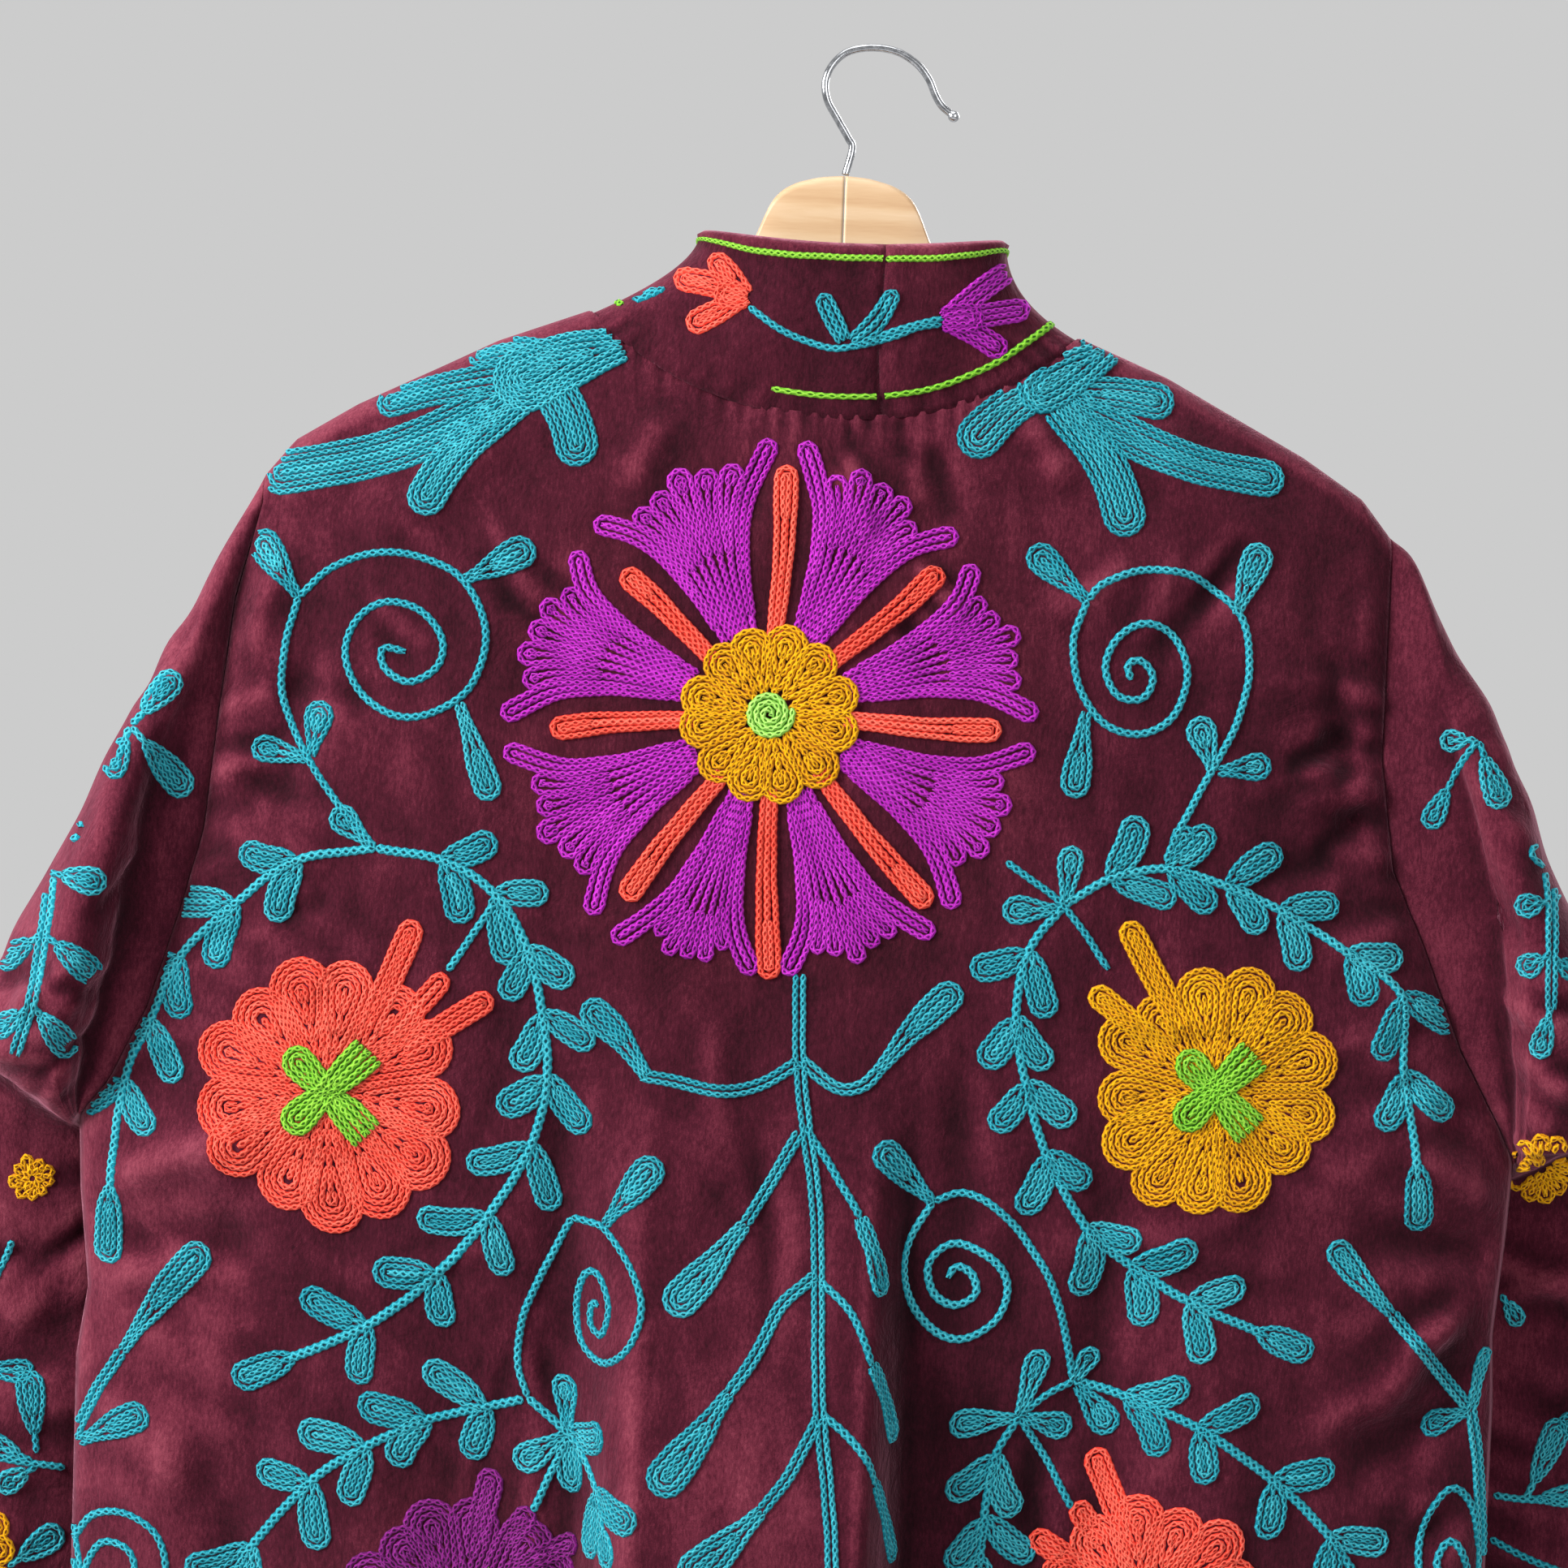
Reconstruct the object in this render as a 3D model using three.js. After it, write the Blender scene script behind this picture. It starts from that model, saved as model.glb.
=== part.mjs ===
// Embroidered velvet jacket hanging on a wooden hanger.
// Lengths in millimetres, +Z up, +Y the back of the jacket, -Y its open front.
// The origin is the seat of the hook: the inside top of its bend, where it hangs on a pin.
import * as THREE from "three";

// ---- driving dimensions ----
const JACKET_X = 13.4; // the jacket's middle, to one side of the hook's seat
const HANGER_X = 11.2; // the hanger's middle
const WALL = 2; // velvet with its embroidery backing
const SEAM = 0.3; // clearance between pieces at a seam
const HEM_Z = -918;
const HEM_HALF = 304;
const NECK_HALF = 101; // half width of the neck seam
const NECK_BACK_Z = -153; // neck seam at the middle of the back
const NECK_FRONT_Z = -200; // neck seam at the front edges
const NECK_SIDE_Z = -113; // neck seam at the shoulder
const COLLAR_HALF = 63; // half width of the collar's top edge
const COLLAR_BACK_Z = -83.5;
const COLLAR_SIDE_Z = -77;
const COLLAR_FRONT_Z = -152;
const COLLAR_SHIFT = -6.5; // the band leans a little to one side
const COLLAR_SEAM_TURN = 0.13; // the collar's seam stands this share of a quarter turn off the middle of the back
const FRONT_EDGE = 4; // each front edge stands this far from the middle
const SHOULDER_HALF = 232; // where the armhole seam crosses the shoulder
const SHOULDER_Z = -195;
const TILT = 0.022; // the shoulders hang this much out of level
const UNDERARM_HALF = 300;
const UNDERARM_Z = -450;
const SHOULDER_ROUND = 9; // outer radius of the cloth bent over the hanger's arm
const BACK_DEPTH = 36; // how far the back stands behind the side seams, at the chest
const FRONT_DEPTH = 32;
const FOLD_HALF = 44; // half width of the standing fold down the middle of the back
const FOLD_FLANK_LEFT = 30;
const FOLD_FLANK_RIGHT = 20;
const FOLD_MIDDLE = 19;
const FOLD_RISE = 38;
const FOLD_TOP_Z = -385;
const FOLD_FULL_Z = -640;
const BLOCK_TOP_Z = -52; // top of the hanger
const ARM_THICK = 12;
const WIRE = 3.1; // hook wire

// height of the shoulder line at each half width
const shoulderLine = [
  { x: 0, z: -70 },
  { x: 101, z: -113 },
  { x: 138, z: -127.5 },
  { x: 160, z: -139 },
  { x: 195, z: -157 },
  { x: 220, z: -173 },
  { x: 232, z: -188 },
  { x: 262, z: -300 },
];
// armhole seam, then the side seam: half width on the left and on the right at each height
const sideLine = [
  { z: -195, left: 232, right: 232 },
  { z: -236, left: 242, right: 231 },
  { z: -285, left: 247, right: 230 },
  { z: -330, left: 251, right: 236 },
  { z: -361, left: 259, right: 250 },
  { z: -404, left: 272, right: 267 },
  { z: -434, left: 287, right: 284 },
  { z: -450, left: 300, right: 292 },
  { z: -480, left: 298.5, right: 290 },
  { z: -520, left: 294, right: 286 },
  { z: -548, left: 298, right: 287 },
  { z: -640, left: 297, right: 286 },
  { z: -760, left: 300, right: 291 },
  { z: -918, left: 304, right: 298 },
];
// how far beyond the armhole seam the body's roundness would close
const armholeOpen = [
  { z: -195, d: 13 },
  { z: -300, d: 15 },
  { z: -410, d: 12 },
  { z: -450, d: 0 },
  { z: -918, d: 0 },
];
// sleeve: outer and inner line of each ring, its middle in Y and its depth to the back and to the front
const sleeveRings = [
  { ox: 240, oz: -200, ix: 300.6, iz: -449, mid: 0, back: 20, front: 19 },
  { ox: 252, oz: -223, ix: 300.9, iz: -449.4, mid: 0, back: 25, front: 23 },
  { ox: 268, oz: -252, ix: 301.2, iz: -449.9, mid: -1, back: 31, front: 27 },
  { ox: 283, oz: -285, ix: 301.5, iz: -450.5, mid: -2, back: 36, front: 31 },
  { ox: 300, oz: -320, ix: 301.8, iz: -451.2, mid: -3, back: 38, front: 35 },
  { ox: 317, oz: -352, ix: 302, iz: -452.1, mid: -4, back: 38, front: 38 },
  { ox: 335, oz: -380, ix: 302.2, iz: -453.2, mid: -6, back: 36, front: 40 },
  { ox: 354, oz: -409, ix: 302, iz: -454.8, mid: -10, back: 30, front: 40 },
  { ox: 360, oz: -424, ix: 299, iz: -461, mid: -28, back: 18, front: 26 },
  { ox: 373, oz: -455, ix: 291, iz: -482, mid: -38, back: 20, front: 24 },
  { ox: 386, oz: -500, ix: 286, iz: -520, mid: -40, back: 21, front: 22 },
  { ox: 397, oz: -560, ix: 284, iz: -572, mid: -38, back: 20, front: 22 },
  { ox: 403, oz: -620, ix: 283, iz: -626, mid: -39, back: 19, front: 20 },
  { ox: 407, oz: -675, ix: 281, iz: -678, mid: -38, back: 18, front: 19 },
  { ox: 410, oz: -722, ix: 279, iz: -722, mid: -38, back: 17, front: 18 },
];
const hookPath = [
  { x: 11.1, z: -51.2 },
  { x: 8.6, z: -40.2 },
  { x: 10.4, z: -36 },
  { x: 15.3, z: -28 },
  { x: 19.6, z: -20.5 },
  { x: 20.6, z: -13 },
  { x: 18, z: -6 },
  { x: 11.8, z: -0.4 },
  { x: 1.9, z: 1.7 },
  { x: -8.4, z: 0.4 },
  { x: -16.6, z: -4.2 },
  { x: -21.9, z: -10.4 },
  { x: -24.8, z: -16.8 },
  { x: -27.6, z: -21.2 },
  { x: -31.4, z: -24.4 },
];

// ---- looks ----
const velvet = () =>
  new THREE.MeshStandardMaterial({ color: 0x4f1a2b, roughness: 0.85, metalness: 0 });
const wood = () =>
  new THREE.MeshStandardMaterial({ color: 0xecd2a4, roughness: 0.55, metalness: 0 });
const chrome = () =>
  new THREE.MeshStandardMaterial({ color: 0xb9bcc0, roughness: 0.18, metalness: 1 });

// ---- helpers ----
const mix = (a, b, t) => a + (b - a) * t;
const clamp = (v, a, b) => Math.min(b, Math.max(a, v));
const smooth = (t) => {
  const c = clamp(t, 0, 1);
  return c * c * (3 - 2 * c);
};
// value of column `to` where column `from` of the table reads v
function read(table, from, to, v) {
  for (let i = 1; i < table.length; i++) {
    const a = table[i - 1],
      b = table[i];
    if ((v - a[from]) * (v - b[from]) <= 0 || i === table.length - 1)
      return mix(a[to], b[to], clamp((v - a[from]) / (b[from] - a[from]), 0, 1));
  }
}
const shoulderZ = (x) => read(shoulderLine, "x", "z", Math.abs(x)) + TILT * x;
const sideX = (z, x) => (z > SHOULDER_Z ? SHOULDER_HALF : read(sideLine, "z", x < 0 ? "right" : "left", z));

// ---- the body's surface ----
// Distance of the outer face from the plane of the side seams; facing +1 is the back, -1 the front.
function bodyY(x, z, facing) {
  const ax = Math.abs(x);
  const below = Math.max(0, shoulderZ(x) - z);
  const wide = sideX(z, x) + (z > SHOULDER_Z ? 14 : read(armholeOpen, "z", "d", z));
  const t = Math.min(1, ax / wide);
  const over = 1 - clamp(below / SHOULDER_ROUND, 0, 1);
  const round = SHOULDER_ROUND * Math.sqrt(1 - over * over) * Math.sqrt(1 - t ** 14);
  const open = 1 - Math.exp(-below / 55);
  const lens = (1 - t ** 2.6) ** 0.65;
  const flare = 1 + 0.16 * smooth((-z - 480) / 440);
  const depth = ((facing > 0 ? BACK_DEPTH : FRONT_DEPTH) - SHOULDER_ROUND) * flare;
  return facing * (round + depth * open * lens + (facing > 0 ? backFold(x, z) : frontFolds(ax, z)));
}
// One fold stands out of the middle of the back and deepens towards the hem.
function backFold(x, z) {
  const grow = smooth((FOLD_TOP_Z - z) / (FOLD_TOP_Z - FOLD_FULL_Z));
  const d = x - FOLD_MIDDLE;
  const flank = d > 0 ? FOLD_FLANK_LEFT : FOLD_FLANK_RIGHT;
  return FOLD_RISE * grow * smooth((FOLD_HALF + flank - Math.abs(d)) / flank) - 5 * grow * smooth(1 - Math.abs(Math.abs(d) - 120) / 60);
}
function frontFolds(ax, z) {
  const grow = smooth((-z - 420) / 300);
  return 16 * grow * smooth(1 - Math.abs(ax - 95) / 55) - 6 * grow * smooth(1 - Math.abs(ax - 190) / 50);
}
const backNeckZ = (x) => mix(NECK_BACK_Z, NECK_SIDE_Z, (Math.abs(x) / NECK_HALF) ** 2.3) + TILT * x;
const frontNeckZ = (x) => mix(NECK_FRONT_Z, NECK_SIDE_Z, (Math.abs(x) / NECK_HALF) ** 1.7) + TILT * x;

// ---- walls from a grid of points ----
const V = (x, y, z) => new THREE.Vector3(x, y, z);
// Normals of a grid; rows are lists of points, and closed grids wrap along the row.
function gridNormals(rows, closed) {
  const m = rows.length,
    n = rows[0].length;
  return rows.map((row, i) =>
    row.map((p, j) => {
      const up = rows[Math.max(0, i - 1)][j],
        down = rows[Math.min(m - 1, i + 1)][j];
      const left = closed ? row[(j + n - 1) % n] : row[Math.max(0, j - 1)];
      const right = closed ? row[(j + 1) % n] : row[Math.min(n - 1, j + 1)];
      return right.clone().sub(left).cross(down.clone().sub(up)).normalize();
    }),
  );
}
// A wall WALL thick behind the grid's face: outer sheet, inner sheet and the rim between them.
function wallGeometry(rows, closed, outward, normalsAt) {
  const m = rows.length,
    n = rows[0].length;
  const normals = gridNormals(rows, closed).map((r) => r.map((v) => v.multiplyScalar(outward)));
  if (normalsAt) normalsAt(normals);
  const points = [],
    faces = [];
  rows.forEach((r) => r.forEach((p) => points.push(p)));
  rows.forEach((r, i) =>
    r.forEach((p, j) => points.push(p.clone().addScaledVector(normals[i][j], -WALL))),
  );
  const at = (i, j, inner) => (inner ? m * n : 0) + i * n + (closed ? (j + n) % n : j);
  const quad = (a, b, c, d) => faces.push(a, b, c, a, c, d);
  const turn = outward > 0;
  const last = closed ? n : n - 1;
  for (let i = 0; i < m - 1; i++)
    for (let j = 0; j < last; j++)
      for (const inner of [false, true]) {
        const q = [at(i, j, inner), at(i + 1, j, inner), at(i + 1, j + 1, inner), at(i, j + 1, inner)];
        if (turn === inner) quad(...q);
        else quad(q[0], q[3], q[2], q[1]);
      }
  const rim = (a, b) => {
    const q = [a(false), b(false), b(true), a(true)];
    if (turn) quad(...q);
    else quad(q[0], q[3], q[2], q[1]);
  };
  for (let j = 0; j < last; j++) {
    rim((s) => at(0, j + 1, s), (s) => at(0, j, s));
    rim((s) => at(m - 1, j, s), (s) => at(m - 1, j + 1, s));
  }
  if (!closed)
    for (let i = 0; i < m - 1; i++) {
      rim((s) => at(i, 0, s), (s) => at(i + 1, 0, s));
      rim((s) => at(i + 1, n - 1, s), (s) => at(i, n - 1, s));
    }
  const g = new THREE.BufferGeometry();
  g.setAttribute("position", new THREE.Float32BufferAttribute(points.flatMap((p) => [p.x, p.y, p.z]), 3));
  g.setIndex(faces);
  return g;
}
const group = new THREE.Group();
const jacket = new THREE.Group();
jacket.position.x = JACKET_X;
const hanger = new THREE.Group();
hanger.position.x = HANGER_X;
group.add(jacket, hanger);
function add(parent, name, geometry, material) {
  geometry.computeVertexNormals();
  const mesh = new THREE.Mesh(geometry, material);
  mesh.name = name;
  parent.add(mesh);
}

// ---- back and fronts ----
// A panel runs from the neck and shoulder line to the hem, between two side lines.
function panel(uFrom, uTo, columns, facing, neckZ) {
  const downs = [0, 0.006, 0.018, 0.05, 0.1, 0.16, 0.22, 0.28, 0.33, 0.355, 0.38, 0.42, 0.455, 0.49, 0.54, 0.61, 0.69, 0.78, 0.88, 1];
  return downs.map((v) => {
    const row = [];
    for (let k = 0; k <= columns; k++) {
      const u = mix(uFrom, uTo, k / columns);
      const top = SHOULDER_HALF * u;
      const zTop = Math.abs(top) < NECK_HALF ? neckZ(top) : shoulderZ(top);
      const z = mix(zTop, HEM_Z, v);
      const zEdge = mix(shoulderZ(SHOULDER_HALF * Math.sign(u)), HEM_Z, v);
      const slack = sideX(zEdge, u) - mix(SHOULDER_HALF, HEM_HALF, v);
      const x = mix(SHOULDER_HALF, HEM_HALF, v) * u + slack * u * Math.abs(u) ** 3;
      row.push(V(x, bodyY(x, z, facing) + facing * SEAM * 0.5, z));
    }
    return row;
  });
}
// Seam edges turn in the plane of the seam, so neighbouring rims lie face to face.
function flatRims(rows, facing, neckZ) {
  return (normals) =>
    normals.forEach((r, i) =>
      r.forEach((n, j) => {
        const p = rows[i][j];
        const onSide = Math.abs(p.x) > sideX(p.z, p.x) - 0.01;
        if (i === 0 && Math.abs(p.x) >= NECK_HALF) n.set(0, 0, 1);
        else if (onSide && p.z > UNDERARM_Z + 6) n.set(0, facing, 0);
        else if (onSide) n.set(Math.sign(p.x), 0, 0);
      }),
    );
}
const backRows = panel(-1, 1, 34, 1, backNeckZ);
add(jacket, "back", wallGeometry(backRows, false, 1, flatRims(backRows, 1)), velvet());
const edge = FRONT_EDGE / SHOULDER_HALF;
for (const [name, from, to] of [
  ["front_left", edge, 1],
  ["front_right", -1, -edge],
]) {
  const rows = panel(from, to, 17, -1, frontNeckZ);
  add(jacket, name, wallGeometry(rows, false, -1, flatRims(rows, -1)), velvet());
}

// ---- collar: a stand band in two halves, seamed near the middle of the back ----
const collarRows = (side) => {
  const steps = 20;
  const rows = [];
  for (const h of [0, 0.16, 0.33, 0.66, 1]) {
    const row = [];
    for (let k = 0; k <= steps; k++) {
      // from the seam (about 0) by the shoulder (1) to the front edge (2)
      const a = mix(-COLLAR_SEAM_TURN * side, 2, k / steps);
      const back = a <= 1;
      const turn = (back ? a : 2 - a) * (Math.PI / 2);
      const gap = k ? 0 : SEAM / 2;
      const xb = back ? NECK_HALF * Math.sin(turn) + gap : Math.max(FRONT_EDGE, NECK_HALF * Math.sin(turn));
      const xt = back ? COLLAR_HALF * Math.sin(turn) + gap : Math.max(FRONT_EDGE, COLLAR_HALF * Math.sin(turn));
      const zb = back ? backNeckZ(xb * side) : frontNeckZ(xb * side);
      const yb = bodyY(xb * side, zb, back ? 1 : -1);
      const st = (Math.abs(xt) / COLLAR_HALF) ** 2.2;
      const zt = back ? mix(COLLAR_BACK_Z, COLLAR_SIDE_Z, st) : mix(COLLAR_FRONT_Z, COLLAR_SIDE_Z, (xt / COLLAR_HALF) ** 1.5);
      const yt = (back ? 30 : -27) * Math.sqrt(Math.max(0, 1 - (Math.abs(xt) / (COLLAR_HALF + 0.5)) ** 3));
      const lean = 1 - (1 - h) ** 2; // the band leans in at its foot and stands up above
      const lift = 0.7; // the band starts just above the panels it is sewn to
      row.push(V(mix(xb, xt, lean) * side + COLLAR_SHIFT * smooth(h), mix(yb, yt, lean), mix(zb + lift, zt, h)));
    }
    rows.push(row);
  }
  return rows;
};
for (const [name, side] of [
  ["collar_left", 1],
  ["collar_right", -1],
]) {
  const rows = collarRows(side);
  add(jacket, name, wallGeometry(rows, false, -side, (n) => n.forEach((r) => r[0].set(0, 1, 0))), velvet());
}

// ---- sleeves ----
const AROUND = 24;
const RIGHT_NEARER = 8; // the right underarm stands this much nearer the middle
// the back's own side edge, which the armhole follows
const seamLine = (side) => backRows.map((r) => r.at(side > 0 ? -1 : 0)).map((p) => ({ z: p.z, x: Math.abs(p.x) }));
function sleeveRows(side) {
  const rows = [];
  const seam = seamLine(side);
  const seamAt = (f) => mix(shoulderZ(SHOULDER_HALF * side), UNDERARM_Z, f);
  const armhole = [];
  for (let k = 0; k < AROUND; k++) {
    const a = (k / AROUND) * 2 * Math.PI;
    const f = (1 - Math.cos(a)) / 2;
    const z = seamAt(f);
    const facing = Math.sin(a) > 1e-9 ? 1 : Math.sin(a) < -1e-9 ? -1 : 0;
    const x = read(seam, "z", "x", z) + 0.35 * smooth((-400 - z) / 30);
    armhole.push(V((x + SEAM + 0.15) * side, facing ? bodyY(x * side, z, facing) + (facing * SEAM) / 2 : 0, z));
  }
  rows.push(armhole);
  for (const r of sleeveRings) {
    const row = [];
    for (let k = 0; k < AROUND; k++) {
      const a = (k / AROUND) * 2 * Math.PI;
      const f = (1 - Math.cos(a)) / 2;
      const s = Math.sin(a);
      const depth = s >= 0 ? r.back : r.front;
      const y = r.mid + Math.sign(s) * depth * Math.abs(s) ** 0.9;
      const inner = r.ix - (side < 0 ? RIGHT_NEARER : 0);
      row.push(V(mix(r.ox, inner, f) * side, y, mix(r.oz, r.iz, f)));
    }
    rows.push(row);
  }
  return rows;
}
for (const [name, side] of [
  ["sleeve_left", 1],
  ["sleeve_right", -1],
]) {
  const rows = sleeveRows(side);
  // at the armhole the cut edge lies in the plane of the seam
  const square = (normals) =>
    normals[0].forEach((n, k) => {
      if (k % (AROUND / 2) === 0) n.set(0, 0, k ? -1 : 1);
      else n.set(0, k < AROUND / 2 ? 1 : -1, 0);
    });
  add(jacket, name, wallGeometry(rows, true, -side, square), velvet());
}

// ---- hanger: two wooden arms jointed at the middle, and a wire hook ----
const OFF_MIDDLE = Math.abs(HANGER_X - JACKET_X);
const armTopAt = (x, side) => Math.min(shoulderZ(side * x - OFF_MIDDLE), shoulderZ(side * x + OFF_MIDDLE)) - 5.8;
function armShape(side) {
  const armTop = (x) => armTopAt(x, side);
  const s = new THREE.Shape();
  const block = [
    { x: SEAM / 2, z: BLOCK_TOP_Z },
    { x: 10, z: BLOCK_TOP_Z - 0.8 },
    { x: 20, z: BLOCK_TOP_Z - 3.4 },
    { x: 27, z: BLOCK_TOP_Z - 7.5 },
    { x: 31.5, z: BLOCK_TOP_Z - 14 },
    { x: 36, z: BLOCK_TOP_Z - 27 },
    { x: 46, z: BLOCK_TOP_Z - 42 },
    { x: 62, z: BLOCK_TOP_Z - 52 },
    { x: 84, z: BLOCK_TOP_Z - 59 },
  ];
  s.moveTo(block[0].x, block[0].z);
  block.slice(1).forEach((p) => s.lineTo(p.x, p.z));
  for (const x of [104, 122, 140, 160, 178, 195, 208, 216]) s.lineTo(x, armTop(x));
  s.lineTo(221, armTop(221) - 4);
  s.lineTo(222, armTop(221) - 12);
  s.lineTo(217, armTop(221) - 19);
  for (const p of [
    { x: 195, z: -192 },
    { x: 160, z: -169 },
    { x: 120, z: -147 },
    { x: 80, z: -129 },
    { x: 40, z: -116 },
    { x: SEAM / 2, z: -112 },
  ])
    s.lineTo(p.x, p.z);
  s.closePath();
  return s;
}
for (const [name, side] of [
  ["hanger_arm_left", 1],
  ["hanger_arm_right", -1],
]) {
  const round = 3.4;
  let g = new THREE.ExtrudeGeometry(armShape(side), {
    depth: ARM_THICK - 2 * round,
    steps: 1,
    bevelEnabled: true,
    bevelThickness: round,
    bevelSize: round,
    bevelOffset: -round,
    bevelSegments: 3,
  });
  g.translate(0, 0, -(ARM_THICK - 2 * round) / 2);
  g.rotateX(Math.PI / 2);
  // the joint face stays flat: everything past it is pulled back to the plane of the joint
  const p = g.attributes.position;
  for (let i = 0; i < p.count; i++) if (p.getX(i) < round + SEAM) p.setX(i, SEAM / 2);
  if (side < 0) g = g.rotateZ(Math.PI);
  g.deleteAttribute("normal");
  g.deleteAttribute("uv");
  add(hanger, name, g, wood());
}
const hookCurve = new THREE.CatmullRomCurve3(hookPath.map((p) => V(p.x, 0, p.z)));
const section = new THREE.Shape();
const SIDES = 12;
for (let k = 0; k < SIDES; k++) {
  const a = (k / SIDES) * 2 * Math.PI;
  const q = [(WIRE / 2) * Math.cos(a), (WIRE / 2) * Math.sin(a)];
  k ? section.lineTo(...q) : section.moveTo(...q);
}
section.closePath();
add(group, "hook", new THREE.ExtrudeGeometry(section, { steps: 56, extrudePath: hookCurve, bevelEnabled: false }), chrome());

export default group;
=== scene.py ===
import bpy, math
import numpy as np
from mathutils import Vector, Matrix
from mathutils.bvhtree import BVHTree

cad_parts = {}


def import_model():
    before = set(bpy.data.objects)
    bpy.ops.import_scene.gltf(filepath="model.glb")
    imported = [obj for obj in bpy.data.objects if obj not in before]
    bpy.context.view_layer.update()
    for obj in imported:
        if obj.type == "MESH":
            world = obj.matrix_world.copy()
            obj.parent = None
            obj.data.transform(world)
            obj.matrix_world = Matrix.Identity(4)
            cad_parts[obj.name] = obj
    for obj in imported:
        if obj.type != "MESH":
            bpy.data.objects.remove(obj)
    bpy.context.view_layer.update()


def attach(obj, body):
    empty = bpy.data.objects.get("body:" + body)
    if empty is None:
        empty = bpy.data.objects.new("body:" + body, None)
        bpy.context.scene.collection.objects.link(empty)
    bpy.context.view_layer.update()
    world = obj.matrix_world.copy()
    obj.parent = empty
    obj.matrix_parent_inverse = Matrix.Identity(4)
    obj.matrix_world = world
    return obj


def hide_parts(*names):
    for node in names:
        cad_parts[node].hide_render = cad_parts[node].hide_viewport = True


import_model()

RNG = np.random.default_rng(7)

# ------------------------------------------------------------------ sizes, in millimetres
JACKET_X, HANGER_X = 13.4, 11.2
WALL, SEAM = 2.0, 0.3
HEM_Z, HEM_HALF = -918.0, 304.0
NECK_HALF, NECK_BACK_Z, NECK_FRONT_Z, NECK_SIDE_Z = 101.0, -153.0, -200.0, -113.0
COLLAR_HALF, COLLAR_BACK_Z, COLLAR_SIDE_Z, COLLAR_FRONT_Z = 63.0, -83.5, -77.0, -152.0
COLLAR_SEAM_TURN, COLLAR_SHIFT = 0.13, -6.5
FRONT_EDGE = 4.0
SHOULDER_HALF, SHOULDER_Z, TILT, RIGHT_NEARER = 232.0, -195.0, 0.022, 8.0
UNDERARM_HALF, UNDERARM_Z = 300.0, -450.0
SHOULDER_ROUND, BACK_DEPTH, FRONT_DEPTH = 9.0, 36.0, 32.0
FOLD_HALF, FOLD_FLANK_LEFT, FOLD_FLANK_RIGHT, FOLD_MIDDLE = 44.0, 30.0, 20.0, 19.0
FOLD_RISE, FOLD_TOP_Z, FOLD_FULL_Z = 38.0, -385.0, -640.0
BLOCK_TOP_Z, ARM_THICK, WIRE = -52.0, 12.0, 3.1

shoulder_line = np.array([(0, -70), (101, -113), (138, -127.5), (160, -139), (195, -157), (220, -173), (232, -188), (262, -300)], float)
# z, left, right
side_line = np.array([(-195, 232, 232), (-236, 242, 231), (-285, 247, 230), (-330, 251, 236), (-361, 259, 250), (-404, 272, 267), (-434, 287, 284), (-450, 300, 292),
                      (-480, 298.5, 290), (-520, 294, 286), (-548, 298, 287), (-640, 297, 286), (-760, 300, 291), (-918, 304, 298)], float)
armhole_open = np.array([(-195, 13), (-300, 15), (-410, 12), (-450, 0.0), (-918, 0.0)], float)
# ox, oz, ix, iz, mid, back, front
sleeve_rings = np.array([
    (240, -200, 300.6, -449, 0, 20, 19), (252, -223, 300.9, -449.4, 0, 25, 23), (268, -252, 301.2, -449.9, -1, 31, 27),
    (283, -285, 301.5, -450.5, -2, 36, 31), (300, -320, 301.8, -451.2, -3, 38, 35), (317, -352, 302, -452.1, -4, 38, 38),
    (335, -380, 302.2, -453.2, -6, 36, 40), (354, -409, 302, -454.8, -10, 30, 40), (360, -424, 299, -461, -28, 18, 26),
    (373, -455, 291, -482, -38, 20, 24), (386, -500, 286, -520, -40, 21, 22), (397, -560, 284, -572, -38, 20, 22),
    (403, -620, 283, -626, -39, 19, 20), (407, -675, 281, -678, -38, 18, 19), (410, -722, 279, -722, -38, 17, 18)], float)
hook_path = [(11.1, -51.2), (8.6, -40.2), (10.4, -36), (15.3, -28), (19.6, -20.5), (20.6, -13), (18, -6), (11.8, -0.4), (1.9, 1.7),
             (-8.4, 0.4), (-16.6, -4.2), (-21.9, -10.4), (-24.8, -16.8), (-27.6, -21.2), (-31.4, -24.4)]

# ------------------------------------------------------------------ helpers
def smooth(t):
    t = np.clip(t, 0, 1)
    return t * t * (3 - 2 * t)
def mix(a, b, t):
    return a + (b - a) * t
def shoulder_z(x):
    return np.interp(np.abs(x), shoulder_line[:, 0], shoulder_line[:, 1]) + TILT * x
def side_x(z, x):
    left = np.interp(-z, -side_line[:, 0], side_line[:, 1])
    right = np.interp(-z, -side_line[:, 0], side_line[:, 2])
    return np.where(z > SHOULDER_Z, SHOULDER_HALF, np.where(x < 0, right, left))
def world(p):
    """jacket millimetres to row-frame metres"""
    q = np.array(p, float)
    q[..., 0] += JACKET_X
    return q * 0.001

# ------------------------------------------------------------------ the camera, at the photograph's angle
CAM_D, ROLL, PX = 1500.0, math.radians(2.0), 0.335
CAM = np.array([27.6 - JACKET_X, CAM_D, -303.3])  # in jacket millimetres
CAM_R = np.array([-math.cos(ROLL), 0, math.sin(ROLL)])
CAM_U = np.array([math.sin(ROLL), 0, math.cos(ROLL)])
F_PX = CAM_D / PX
def ray_xz(px, py, y):
    """where the ray through a pixel crosses the plane at depth y"""
    d = np.outer((np.asarray(px, float) - 966) / F_PX, CAM_R) + np.outer((966 - np.asarray(py, float)) / F_PX, CAM_U)
    k = CAM_D - np.asarray(y, float)
    return CAM[0] + d[:, 0] * k, CAM[2] + d[:, 2] * k

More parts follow.
